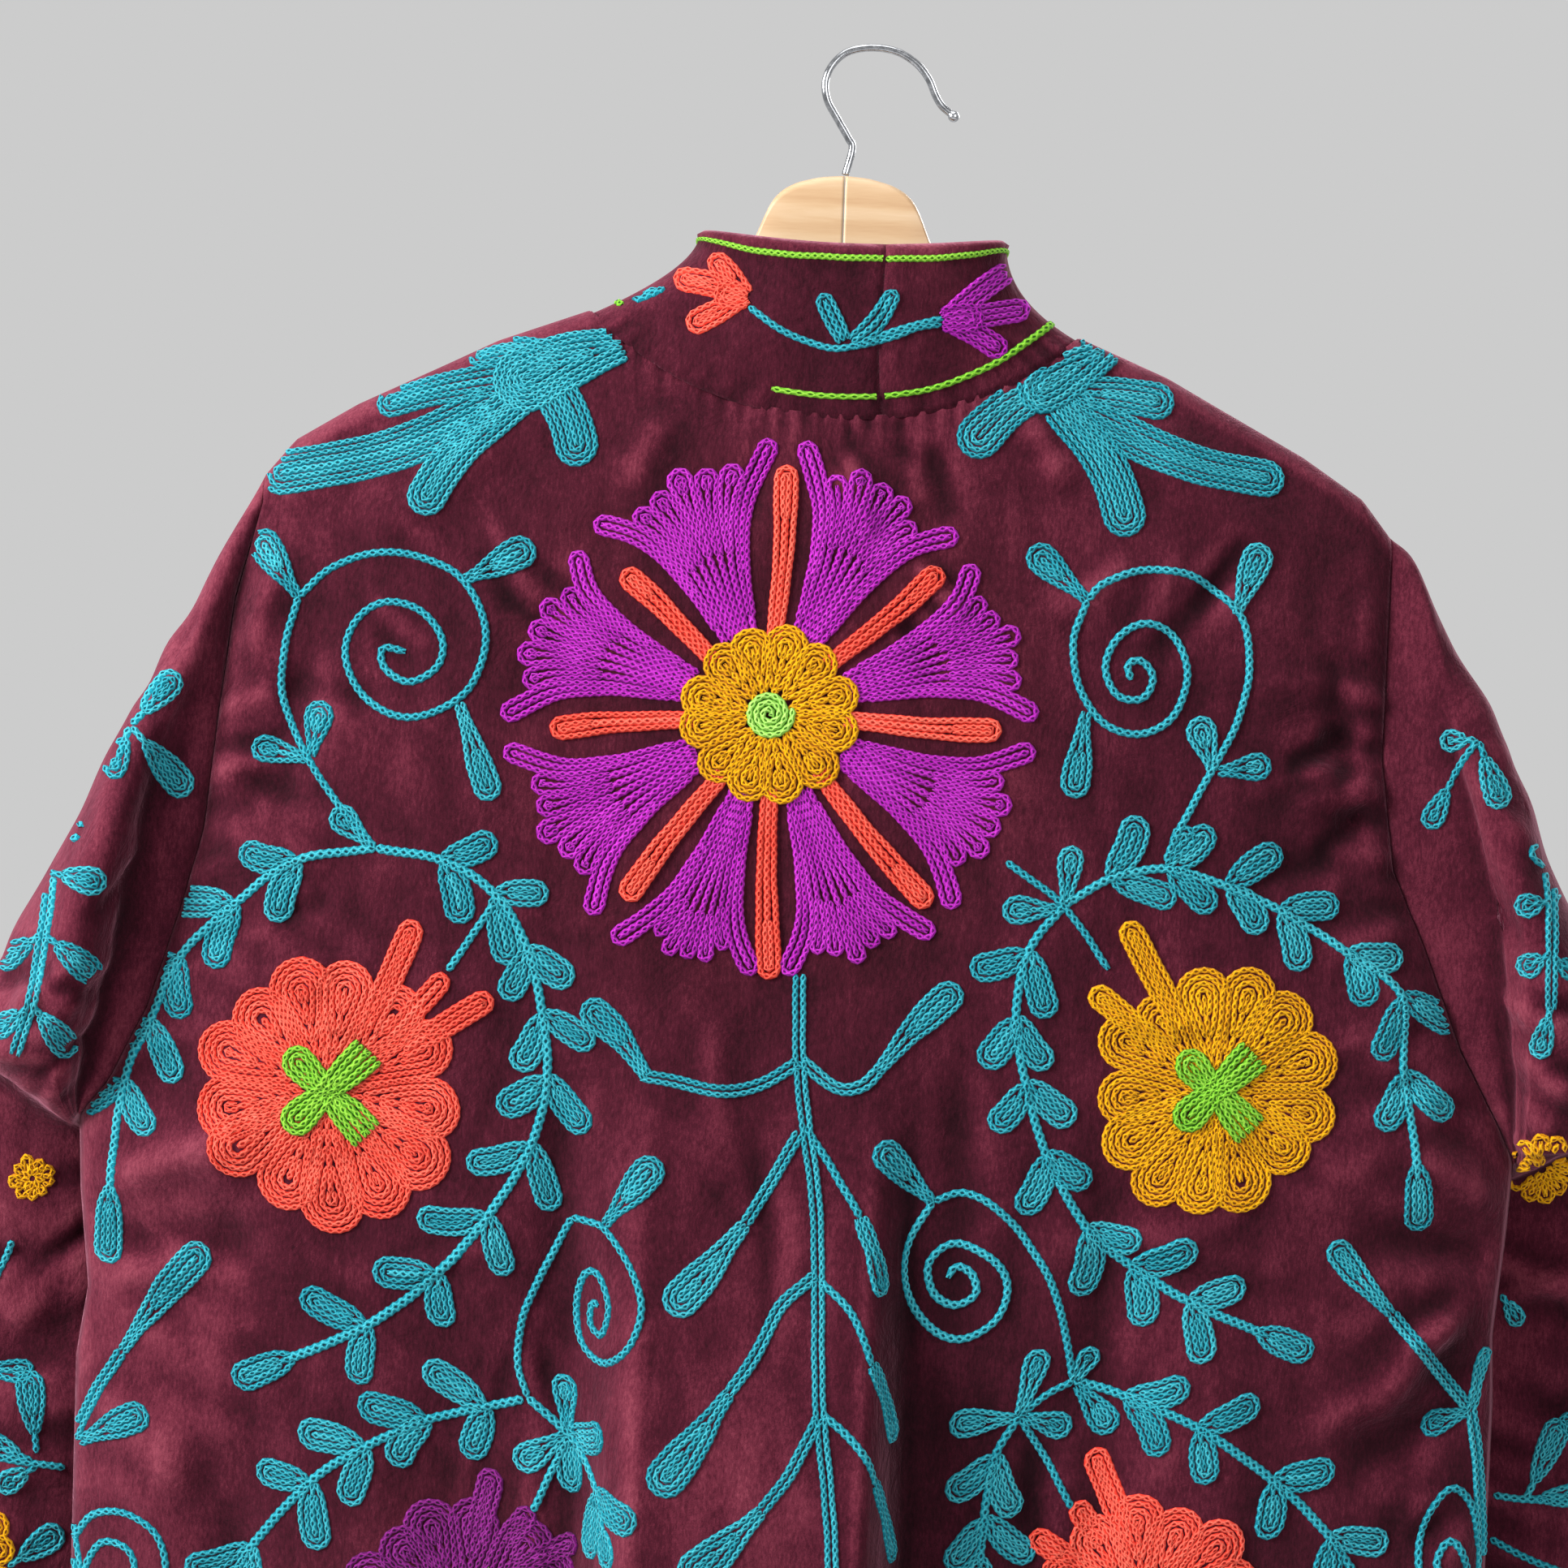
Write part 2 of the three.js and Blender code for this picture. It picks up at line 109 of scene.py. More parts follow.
# ------------------------------------------------------------------ the body's surface
def bump(x, z, x0, z0, x1, z1, width, depth, skew=0.0, ends=0.35):
    """a soft ridge (depth > 0) or trough along a segment, with tapered ends"""
    dx, dz = x1 - x0, z1 - z0
    L = math.hypot(dx, dz)
    ux, uz = dx / L, dz / L
    x, z = np.broadcast_arrays(np.asarray(x, float), np.asarray(z, float))
    out = np.zeros(x.shape)
    reach = 4 * width + (abs(skew) * 0.25 + 0.03) * L
    near = (x > min(x0, x1) - reach) & (x < max(x0, x1) + reach) & (z > min(z0, z1) - reach) & (z < max(z0, z1) + reach)
    if not near.any():
        return out
    x, z = x[near], z[near]
    a = ((x - x0) * ux + (z - z0) * uz) / L
    c = (x - x0) * -uz + (z - z0) * ux
    c = c + skew * L * 0.25 * np.sin(np.clip(a, 0, 1) * math.pi)
    w = width * (0.75 + 0.5 * np.clip(a, 0, 1))
    taper = smooth((a + 0.02) / ends) * smooth((1.02 - a) / ends)
    out[near] = depth * taper * np.exp(-(c / w) ** 2)
    return out

def back_fold(x, z):
    grow = smooth((FOLD_TOP_Z - z) / (FOLD_TOP_Z - FOLD_FULL_Z))
    d = x - FOLD_MIDDLE
    flank = np.where(d > 0, FOLD_FLANK_LEFT, FOLD_FLANK_RIGHT)
    return FOLD_RISE * grow * smooth((FOLD_HALF + flank - np.abs(d)) / flank) - 5 * grow * smooth(1 - np.abs(np.abs(d) - 120) / 60)
def front_folds(ax, z):
    grow = smooth((-z - 420) / 300)
    return 16 * grow * smooth(1 - np.abs(ax - 95) / 55) - 6 * grow * smooth(1 - np.abs(ax - 190) / 50)

def body_base(x, z, facing):
    ax = np.abs(x)
    below = np.maximum(0, shoulder_z(x) - z)
    wide = side_x(z, x) + np.where(z > SHOULDER_Z, 14.0, np.interp(-z, -armhole_open[:, 0], armhole_open[:, 1]))
    t = np.minimum(1, ax / wide)
    over = 1 - np.clip(below / SHOULDER_ROUND, 0, 1)
    rnd = SHOULDER_ROUND * np.sqrt(np.maximum(0, 1 - over * over)) * np.sqrt(np.maximum(0, 1 - t ** 14))
    opened = 1 - np.exp(-below / 55)
    lens = np.maximum(0, 1 - t ** 2.6) ** 0.65
    flare = 1 + 0.16 * smooth((-z - 480) / 440)
    depth = ((BACK_DEPTH if facing > 0 else FRONT_DEPTH) - SHOULDER_ROUND) * flare
    return rnd + depth * opened * lens + (back_fold(x, z) if facing > 0 else front_folds(ax, z))

# creases of the back: x0, z0, x1, z1, width, depth, skew   (ridges are positive)
back_creases = [
    (292, -478, 214, -452, 9, 3.4, 0.10), (296, -500, 205, -492, 11, -3.0, -0.10), (290, -520, 238, -500, 7, 2.4, 0.0),
    (296, -560, 240, -600, 12, 2.6, 0.15), (285, -640, 262, -760, 13, 3.2, 0.05), (236, -560, 214, -800, 18, -3.2, 0.05),
    (-292, -470, -236, -440, 8, 3.2, -0.1), (-297, -492, -222, -470, 9, -3.0, 0.1), (-290, -512, -200, -520, 10, 2.8, 0.1),
    (-284, -540, -215, -570, 9, -2.4, 0.1), (-296, -585, -248, -640, 12, 3.0, -0.1), (-262, -600, -236, -860, 18, 3.4, 0.0),
    (-160, -470, -176, -760, 20, 2.6, 0.04), (-122, -430, -118, -640, 13, -2.4, 0.03), (160, -480, 172, -800, 22, 2.2, -0.03),
    (100, -410, 96, -560, 11, -2.2, 0.0), (-60, -400, -66, -540, 10, -2.0, 0.0), (40, -392, 34, -470, 9, 1.6, 0.0),
    (-34, -212, -58, -236, 4, 1.9, 0.1), (-28, -232, -50, -262, 6, -1.4, 0.1), (-8, -165, -16, -205, 7, 1.7, 0.0),
    (26, -168, 34, -200, 7, -1.3, 0.0), (-40, -160, -52, -200, 6, -1.2, 0.0), (64, -150, 84, -190, 8, 1.3, 0.0),
    (-78, -146, -98, -182, 8, 1.4, 0.0), (120, -150, 196, -212, 13, 1.9, 0.1), (-118, -146, -190, -205, 12, 1.6, -0.1),
    (222, -214, 240, -262, 9, 2.4, 0.0), (-222, -214, -238, -268, 9, 2.2, 0.0), (206, -240, 226, -330, 10, -2.4, 0.05),
    (-206, -236, -222, -330, 9, -2.4, -0.05), (0, -700, -6, -915, 12, -3.0, 0.02), (128, -700, 136, -917, 16, 4.0, 0.0),
    (-112, -720, -110, -917, 15, 3.6, 0.0), (-205, -740, -214, -917, 17, 4.2, 0.0), (246, -760, 250, -917, 14, -3.6, 0.0)]
# puckers that run in from the armhole seam: height, length, rise towards the body, depth
back_puckers = {1: [(-282, 26, 8, 1.9), (-296, 34, 3, -1.7), (-309, 40, 12, 2.1), (-322, 24, 2, -1.4), (-352, 38, 16, 1.6), (-388, 44, 22, -1.5), (-425, 40, 14, 1.6)],
                -1: [(-262, 22, 6, 1.5), (-283, 30, 10, -1.9), (-300, 42, 14, 2.2), (-312, 36, 8, -1.9), (-326, 30, 4, 1.9), (-350, 34, 14, -1.5), (-392, 42, 20, 1.6), (-428, 46, 14, -1.8)]}
front_creases = [
    (292, -474, 206, -440, 9, 3.0, 0.1), (294, -505, 212, -492, 10, -2.8, 0.0), (288, -560, 236, -610, 12, 2.6, 0.1), (262, -620, 240, -900, 16, 3.2, 0.0),
    (150, -430, 156, -700, 17, -2.6, 0.03), (58, -250, 74, -470, 14, 2.2, -0.05), (120, -150, 190, -210, 12, 1.8, 0.1), (205, -240, 222, -330, 9, -2.2, 0.0),
    (36, -560, 30, -900, 13, 3.0, 0.0), (190, -300, 206, -420, 12, 1.8, 0.0), (16, -260, 14, -520, 10, 1.4, 0.0), (100, -690, 108, -915, 12, -2.6, 0.0)]

# crushed places: middle (x, z), spread (x, z), lie of the creases in degrees and its scatter, how many, length, width, depth
crushed = {1: [(214, -330, 26, 62, 200, 22, 12, 44, 5.0, 1.5), (-214, -310, 24, 66, -20, 22, 16, 46, 5.0, 1.8), (-190, -450, 56, 60, -12, 26, 16, 62, 6.5, 1.7),
               (250, -560, 26, 80, 200, 26, 12, 48, 6.0, 1.6), (-252, -600, 26, 90, -25, 26, 14, 52, 6.0, 1.8), (186, -470, 50, 46, 205, 26, 10, 54, 6.5, 1.3),
               (-130, -230, 40, 40, -50, 24, 7, 46, 6.5, 1.2), (140, -225, 42, 40, 235, 24, 7, 44, 6.5, 1.1), (-118, -600, 32, 110, -85, 14, 8, 88, 8.0, 1.4),
               (112, -600, 28, 110, -95, 14, 8, 84, 8.0, 1.3), (10, -610, 22, 120, -92, 10, 6, 90, 6.0, 1.2), (-36, -180, 30, 20, -120, 24, 5, 26, 4.0, 0.9)],
           -1: [(214, -320, 26, 60, 200, 22, 10, 44, 5.0, 1.5), (-214, -310, 24, 60, -20, 22, 10, 46, 5.0, 1.5), (-180, -480, 50, 60, -15, 26, 10, 58, 6.5, 1.5),
                (180, -480, 50, 60, 198, 26, 10, 58, 6.5, 1.5), (245, -620, 26, 90, 205, 26, 9, 52, 6.0, 1.5), (-245, -620, 26, 90, -25, 26, 9, 52, 6.0, 1.5),
                (110, -640, 36, 130, -92, 14, 7, 90, 8.0, 1.3), (-110, -640, 36, 130, -88, 14, 7, 90, 8.0, 1.3)]}
def scatter(rows, seed):
    r = np.random.default_rng(seed)
    out = []
    for x, z, dx, dz, lie_and_light_facing, spread, n, length, width, deep in rows:
        for k in range(n):
            cx, cz = x + dx * r.uniform(-1, 1), z + dz * r.uniform(-1, 1)
            a = math.radians(lie_and_light_facing + spread * r.normal() * 0.7)
            h = length * r.uniform(0.35, 0.75)
            sign = -1 if k % 2 else 1
            out.append((cx - h * math.cos(a), cz - h * math.sin(a), cx + h * math.cos(a), cz + h * math.sin(a), width * r.uniform(0.55, 1.35), 1.4 * sign * deep * r.uniform(0.4, 1.25), r.uniform(-0.22, 0.22)))
    return out
small_creases = {1: scatter(crushed[1], 31), -1: scatter(crushed[-1], 32)}

def undulate(x, z, seed):
    r = np.random.default_rng(seed)
    out = 0
    for wl, amp in ((170, 0.9), (95, 0.6), (52, 0.32), (27, 0.14)):
        for _ in range(3):
            a, ph = r.uniform(0, math.pi), r.uniform(0, 6.28)
            out = out + amp * np.sin((x * math.cos(a) * 1.25 + z * math.sin(a) * 0.8) * 2 * math.pi / wl + ph)
    return out * 0.6

def body_y(x, z, facing, small=True):
    x, z = np.asarray(x, float), np.asarray(z, float)
    ax = np.abs(x)
    y = body_base(x, z, facing)
    below = np.maximum(0, shoulder_z(x) - z)
    sx = side_x(z, x)
    free = smooth(below / 26) * smooth((sx - ax) / 16)  # no detail right at the seams
    detail = undulate(x, z, 11 if facing > 0 else 12) * smooth(below / 60) * smooth((sx - ax) / 40)
    creases = back_creases if facing > 0 else None
    if facing > 0:
        for c in back_creases:
            detail = detail + 1.75 * bump(x, z, *c[:6], c[6]) * free
        for c in small_creases[1] if small else ():
            detail = detail + bump(x, z, *c) * free
        for side, rows in back_puckers.items():
            for zz, length, rise, dep in rows:
                xs = float(side_x(zz, side)) * side
                detail = detail + bump(x, z, xs + side * 2, zz, xs - side * length, zz + rise, 4.6, dep, 0.05, 0.25) * smooth((z + 440) / 10 + 1) * smooth(below / 20)
        # the neck seam is slightly gathered
        near = np.exp(-np.maximum(0, neck_z(x, 1) - z) / 9.0) * (ax < NECK_HALF - 3)
        detail = detail + near * 0.55 * np.sin(x * 0.95 + 1.5 * np.sin(x * 0.21)) - near * 1.2
    else:
        for side in (1, -1):
            for k, c in enumerate(front_creases):
                s = 1.0 if side > 0 else 0.82 + 0.06 * (k % 4)
                detail = detail + 1.5 * bump(x, z, c[0] * side, c[1] - (6 if side < 0 else 0), c[2] * side, c[3], c[4], c[5] * s, c[6] * side) * free
            for zz, length, rise, dep in back_puckers[-side]:
                xs = float(side_x(zz, side)) * side
                detail = detail + bump(x, z, xs + side * 2, zz - 7, xs - side * length * 0.9, zz + rise - 7, 4.6, dep * 0.9, 0.05, 0.25) * smooth(below / 20)
        for c in small_creases[-1]:
            detail = detail + bump(x, z, *c) * free
        near = np.exp(-np.maximum(0, neck_z(x, -1) - z) / 9.0) * (ax < NECK_HALF - 3)
        detail = detail + near * 0.45 * np.sin(x * 0.9) - near * 1.0
    # the cloth rolls in at the armhole seam
    at_seam = 0.6 * np.exp(-((sx - ax) / 4.5) ** 2) * smooth((below - 4) / 20) * smooth((z - UNDERARM_Z) / 14)
    y = y + np.maximum(detail, -0.5 * y) - 1.7 * at_seam
    return facing * y

def neck_z(x, facing):
    t = np.clip(np.abs(x) / NECK_HALF, 0, 1)
    return (mix(NECK_BACK_Z, NECK_SIDE_Z, t ** 2.3) if facing > 0 else mix(NECK_FRONT_Z, NECK_SIDE_Z, t ** 1.7)) + TILT * x

# ------------------------------------------------------------------ meshes
def new_mesh(name, verts, faces, uv=None, shade=None, smooth_faces=True):
    me = bpy.data.meshes.new(name)
    faces = np.asarray(faces, np.int32)
    me.vertices.add(len(verts))
    me.vertices.foreach_set("co", np.asarray(verts, np.float32).ravel())
    n = len(faces)
    me.loops.add(n * 4 if faces.shape[1] == 4 else n * 3)
    me.loops.foreach_set("vertex_index", faces.ravel())
    me.polygons.add(n)
    me.polygons.foreach_set("loop_start", np.arange(n, dtype=np.int32) * faces.shape[1])
    me.polygons.foreach_set("use_smooth", np.full(n, smooth_faces))
    me.update(calc_edges=True)
    if uv is not None:
        layer = me.uv_layers.new(name="UVMap")
        layer.data.foreach_set("uv", np.asarray(uv, np.float32)[faces.ravel()].ravel())
    if shade is not None:
        at = me.attributes.new("shade", "FLOAT", "POINT")
        at.data.foreach_set("value", np.asarray(shade, np.float32))
    me.validate()
    ob = bpy.data.objects.new(name, me)
    bpy.context.scene.collection.objects.link(ob)
    return ob

def grid_normals(P, closed):
    left = np.roll(P, 1, 1) if closed else np.concatenate([P[:, :1], P[:, :-1]], 1)
    right = np.roll(P, -1, 1) if closed else np.concatenate([P[:, 1:], P[:, -1:]], 1)
    up = np.concatenate([P[:1], P[:-1]], 0)
    down = np.concatenate([P[1:], P[-1:]], 0)
    n = np.cross(right - left, down - up)
    return n / np.maximum(1e-9, np.linalg.norm(n, axis=2, keepdims=True))

# the side the painted light comes from: velvet facing up and to the left is painted lighter
PAINTED_LIGHT_DIR = np.array([0.80, 0.0, 0.42])
def painted_light_of(P, N, closed):
    """painted light and shade at each point of a cloth grid, 0..1: a painted highlight on ridges and on the sides that
    face up and to the left, painted shade in troughs
    """
    def around(A, axis):
        if axis == 1 and closed:
            return np.roll(A, 1, 1), np.roll(A, -1, 1)
        first, last = np.take(A, [0], axis), np.take(A, [-1], axis)
        a = np.concatenate([first, np.delete(A, -1, axis)], axis)
        b = np.concatenate([np.delete(A, 0, axis), last], axis)
        return a, b
    bend = 0
    for axis in (0, 1):
        pa, pb = around(P, axis)
        na, nb = around(N, axis)
        dp = pb - pa
        bend = bend + ((nb - na) * dp).sum(2) / np.maximum(1e-3, (dp * dp).sum(2))
    for _ in range(2):
        a, b = around(bend, 0)
        c, d = around(bend, 1)
        bend = (2 * bend + a + b + c + d) / 6
    # painted light on the sides facing up and to the left
    lie_and_light_facing = (N * PAINTED_LIGHT_DIR).sum(2)
    return np.clip(0.5 + 4.2 * np.clip(bend, -0.09, 0.09) + 0.30 * lie_and_light_facing, 0, 1)

def shell(name, P, outward, closed=False, wall=WALL, fix=None, rub_and_painted_light=0.0):
    """outer sheet from the grid P, a coarser inner sheet, and a rounded rim between them"""
    m, n = P.shape[:2]
    N = grid_normals(P, closed) * outward
    # painted light and shade for the velvet's colour, with a shift for each piece
    painted_light = np.clip(painted_light_of(P, N, closed) + rub_and_painted_light, 0, 1)
    if fix is not None:
        fix(P, N)
    ii = np.arange(0, m, 2)
    jj = np.arange(0, n, 2)
    if ii[-1] != m - 1:
        raise ValueError("odd row count wanted: " + name)
    inner = P[np.ix_(ii, jj)] - wall * N[np.ix_(ii, jj)]
    outer_id = np.arange(m * n).reshape(m, n)
    inner_id = m * n + np.arange(len(ii) * len(jj)).reshape(len(ii), len(jj))
    flip = outward < 0
    def quads(ids, wrap):
        a, b = ids[:-1], ids[1:]
        if wrap:
            a2, b2 = np.roll(a, -1, 1), np.roll(b, -1, 1)
        else:
            a, a2, b, b2 = a[:, :-1], a[:, 1:], b[:, :-1], b[:, 1:]
        return np.stack([a, b, b2, a2], -1).reshape(-1, 4)
    fo, fi = quads(outer_id, closed), quads(inner_id, closed)[:, ::-1]
    tris, allquads = [], [fo, fi]
    def rim(o, i, rev):
        # o: outer border ids (2k+1), i: inner border ids (k+1)
        for k in range(len(i) - 1):
            f = [(o[2 * k], o[2 * k + 1], i[k]), (o[2 * k + 1], i[k + 1], i[k]), (o[2 * k + 1], o[2 * k + 2], i[k + 1])]
            tris.extend([t[::-1] for t in f] if rev else f)
    if closed:
        for r, rev in ((0, False), (m - 1, True)):
            o = list(outer_id[r]) + [outer_id[r][0]]
            i = list(inner_id[0 if r == 0 else -1]) + [inner_id[0 if r == 0 else -1][0]]
            rim(o, i, rev)
    else:
        rim(outer_id[0], inner_id[0], False)
        rim(outer_id[-1], inner_id[-1], True)
        rim(outer_id[:, 0], inner_id[:, 0], True)
        rim(outer_id[:, -1], inner_id[:, -1], False)
    verts = np.concatenate([P.reshape(-1, 3), inner.reshape(-1, 3)])
    q = np.concatenate(allquads)
    t = np.array(tris, np.int32)
    if flip:
        q, t = q[:, ::-1], t[:, ::-1]
    # one mesh of quads and triangles
    me = bpy.data.meshes.new(name)
    me.vertices.add(len(verts))
    me.vertices.foreach_set("co", world(verts).astype(np.float32).ravel())
    loops = np.concatenate([q.ravel(), t.ravel()]).astype(np.int32)
    starts = np.concatenate([np.arange(len(q)) * 4, len(q) * 4 + np.arange(len(t)) * 3]).astype(np.int32)
    me.loops.add(len(loops)); me.loops.foreach_set("vertex_index", loops)
    me.polygons.add(len(starts)); me.polygons.foreach_set("loop_start", starts)
    me.polygons.foreach_set("use_smooth", np.full(len(starts), True))
    me.update(calc_edges=True)
    # the painted light and shade is stored as a point attribute for the velvet material
    at = me.attributes.new("painted_light", "FLOAT", "POINT")
    at.data.foreach_set("value", np.concatenate([painted_light.ravel(), painted_light[np.ix_(ii, jj)].ravel()]).astype(np.float32))
    me.validate()
    ob = bpy.data.objects.new(name, me)
    bpy.context.scene.collection.objects.link(ob)
    return ob

# ------------------------------------------------------------------ panels
def panel(u0, u1, cols, rows, facing):
    u = np.linspace(u0, u1, cols + 1)[None, :]
    v = (np.linspace(0, 1, rows + 1) ** 1.5)[:, None]
    top = SHOULDER_HALF * u
    z_top = np.where(np.abs(top) < NECK_HALF, neck_z(top, facing), shoulder_z(top))
    z = mix(z_top, HEM_Z, v)
    z_edge = mix(shoulder_z(SHOULDER_HALF * np.sign(u)), HEM_Z, v)
    slack = side_x(z_edge, u) - mix(SHOULDER_HALF, HEM_HALF, v)
    x = mix(SHOULDER_HALF, HEM_HALF, v) * u + slack * u * np.abs(u) ** 3
    hem = 3.0 * np.sin(x * 0.018 + (1.0 if facing > 0 else 2.2)) * smooth((v - 0.9) / 0.1)
    z = z + hem * smooth((side_x(z, x) - np.abs(x)) / 60)
    y = body_y(x, z, facing) + facing * SEAM / 2
    return np.stack([x, y, z], -1)
def panel_rims(facing):
    def fix(P, N):
        on_side = np.abs(P[..., 0]) > side_x(P[..., 2], P[..., 0]) - 0.3
        low = P[..., 2] < UNDERARM_Z + 6
        N[on_side & ~low] = (0, facing, 0)
        N[on_side & low, 1:] = 0
        N[on_side & low, 0] = np.sign(P[on_side & low][:, 0])
        top = np.zeros_like(on_side); top[0] = np.abs(P[0, :, 0]) >= NECK_HALF
        N[top] = (0, 0, 1)
    return fix

pieces = {}
P_back = panel(-1, 1, 260, 212, 1)
def painted_back_light(P):
    """painted light and shade on the back: a painted highlight on the fold's flat top, a painted shadow in the hollow
    beside it, painted sheen along the left flank, and a darker patch at the top middle
    """
    x, z = P[..., 0], P[..., 2]
    d = x - FOLD_MIDDLE
    grow = smooth((FOLD_TOP_Z - z) / (FOLD_TOP_Z - FOLD_FULL_Z))
    return (0.26 * grow * np.exp(-((d + 2) / 36) ** 4) - 0.34 * grow * np.exp(-((d + 82) / 36) ** 2)
            + 0.18 * np.exp(-((x - 262) / 26) ** 2) * smooth((-430 - z) / 60) - 0.13 * np.exp(-((x - 20) / 80) ** 2 - ((z + 250) / 80) ** 2))
pieces["back"] = shell("back_cloth", P_back, 1, fix=panel_rims(1), rub_and_painted_light=painted_back_light(P_back))
edge = FRONT_EDGE / SHOULDER_HALF
P_fl, P_fr = panel(edge, 1, 122, 196, -1), panel(-1, -edge, 122, 196, -1)
pieces["front_left"] = shell("front_left_cloth", P_fl, -1, fix=panel_rims(-1))
pieces["front_right"] = shell("front_right_cloth", P_fr, -1, fix=panel_rims(-1))

# ------------------------------------------------------------------ collar
def collar(side, cols=96, rows=24):
    a = np.linspace(-COLLAR_SEAM_TURN if side > 0 else COLLAR_SEAM_TURN, 2, cols + 1)[None, :]
    a = np.where(a == a.flat[0], a + (-0.004 if side > 0 else 0.0015), a)
    h = np.linspace(0, 1, rows + 1)[:, None]
    back = a <= 1
    turn = np.where(back, a, 2 - a) * math.pi / 2
    low = np.where(back, -1e9, FRONT_EDGE)
    xb, xt = np.maximum(low, NECK_HALF * np.sin(turn)), np.maximum(low, COLLAR_HALF * np.sin(turn))
    zb = np.where(back, neck_z(xb * side, 1), neck_z(xb * side, -1))
    yb = np.where(back, body_base(xb * side, zb, 1), -body_base(xb * side, zb, -1))
    zt = np.where(back, mix(COLLAR_BACK_Z, COLLAR_SIDE_Z, (np.abs(xt) / COLLAR_HALF) ** 2.2), mix(COLLAR_FRONT_Z, COLLAR_SIDE_Z, (np.abs(xt) / COLLAR_HALF) ** 1.5))
    yt = np.where(back, 30.0, -27.0) * np.sqrt(np.maximum(0, 1 - (np.abs(xt) / (COLLAR_HALF + 0.5)) ** 3))
    lean = 1 - (1 - h) ** 2
    x, y, z = mix(xb, xt, lean), mix(yb, yt, lean), mix(zb - 1.8, zt, h)
    # slight belly, soft ripples in the strip by the seam, a rolled top edge
    out = np.where(back, 1.0, -1.0) * np.sqrt(np.maximum(0, 1 - np.sin(turn) ** 6))
    strip = np.exp(-((h - 0.06) / 0.07) ** 2)
    rip = 0.5 * np.sin(a * 95 + 3 * np.sin(a * 13)) * strip + 0.2 * np.exp(-(h / 0.05) ** 2)
    wav = 0.8 * np.sin(a * 7.3 + side) * np.sin(h * 2.6) + 0.5 * np.sin(a * 15 + 2 * side + h * 3)
    roll = 1.3 * np.exp(-((h - 0.955) / 0.035) ** 2) - 1.6 * smooth((h - 0.975) / 0.025)
    y = y + out * (1.6 * np.sin(h * math.pi) * 0.8 + rip + wav * np.sin(h * math.pi) + roll)
    x = x + (1 - np.abs(out)) * (roll + rip * 0.5)
    seam_dip = np.exp(-((a - a.flat[0]) / 0.02) ** 2) * 1.1
    y = y - seam_dip * np.where(a < 0.5, 1, 0)
    return np.stack([x * side + COLLAR_SHIFT * h * h * (3 - 2 * h), y, z], -1)
def collar_rim(P, N):
    N[:, 0] = (0, 1, 0)
P_cl, P_cr = collar(1), collar(-1)
# the collar halves are set darker
pieces["collar_left"] = shell("collar_left_cloth", P_cl, -1, fix=collar_rim, rub_and_painted_light=-0.14)
pieces["collar_right"] = shell("collar_right_cloth", P_cr, 1, fix=collar_rim, rub_and_painted_light=-0.14)

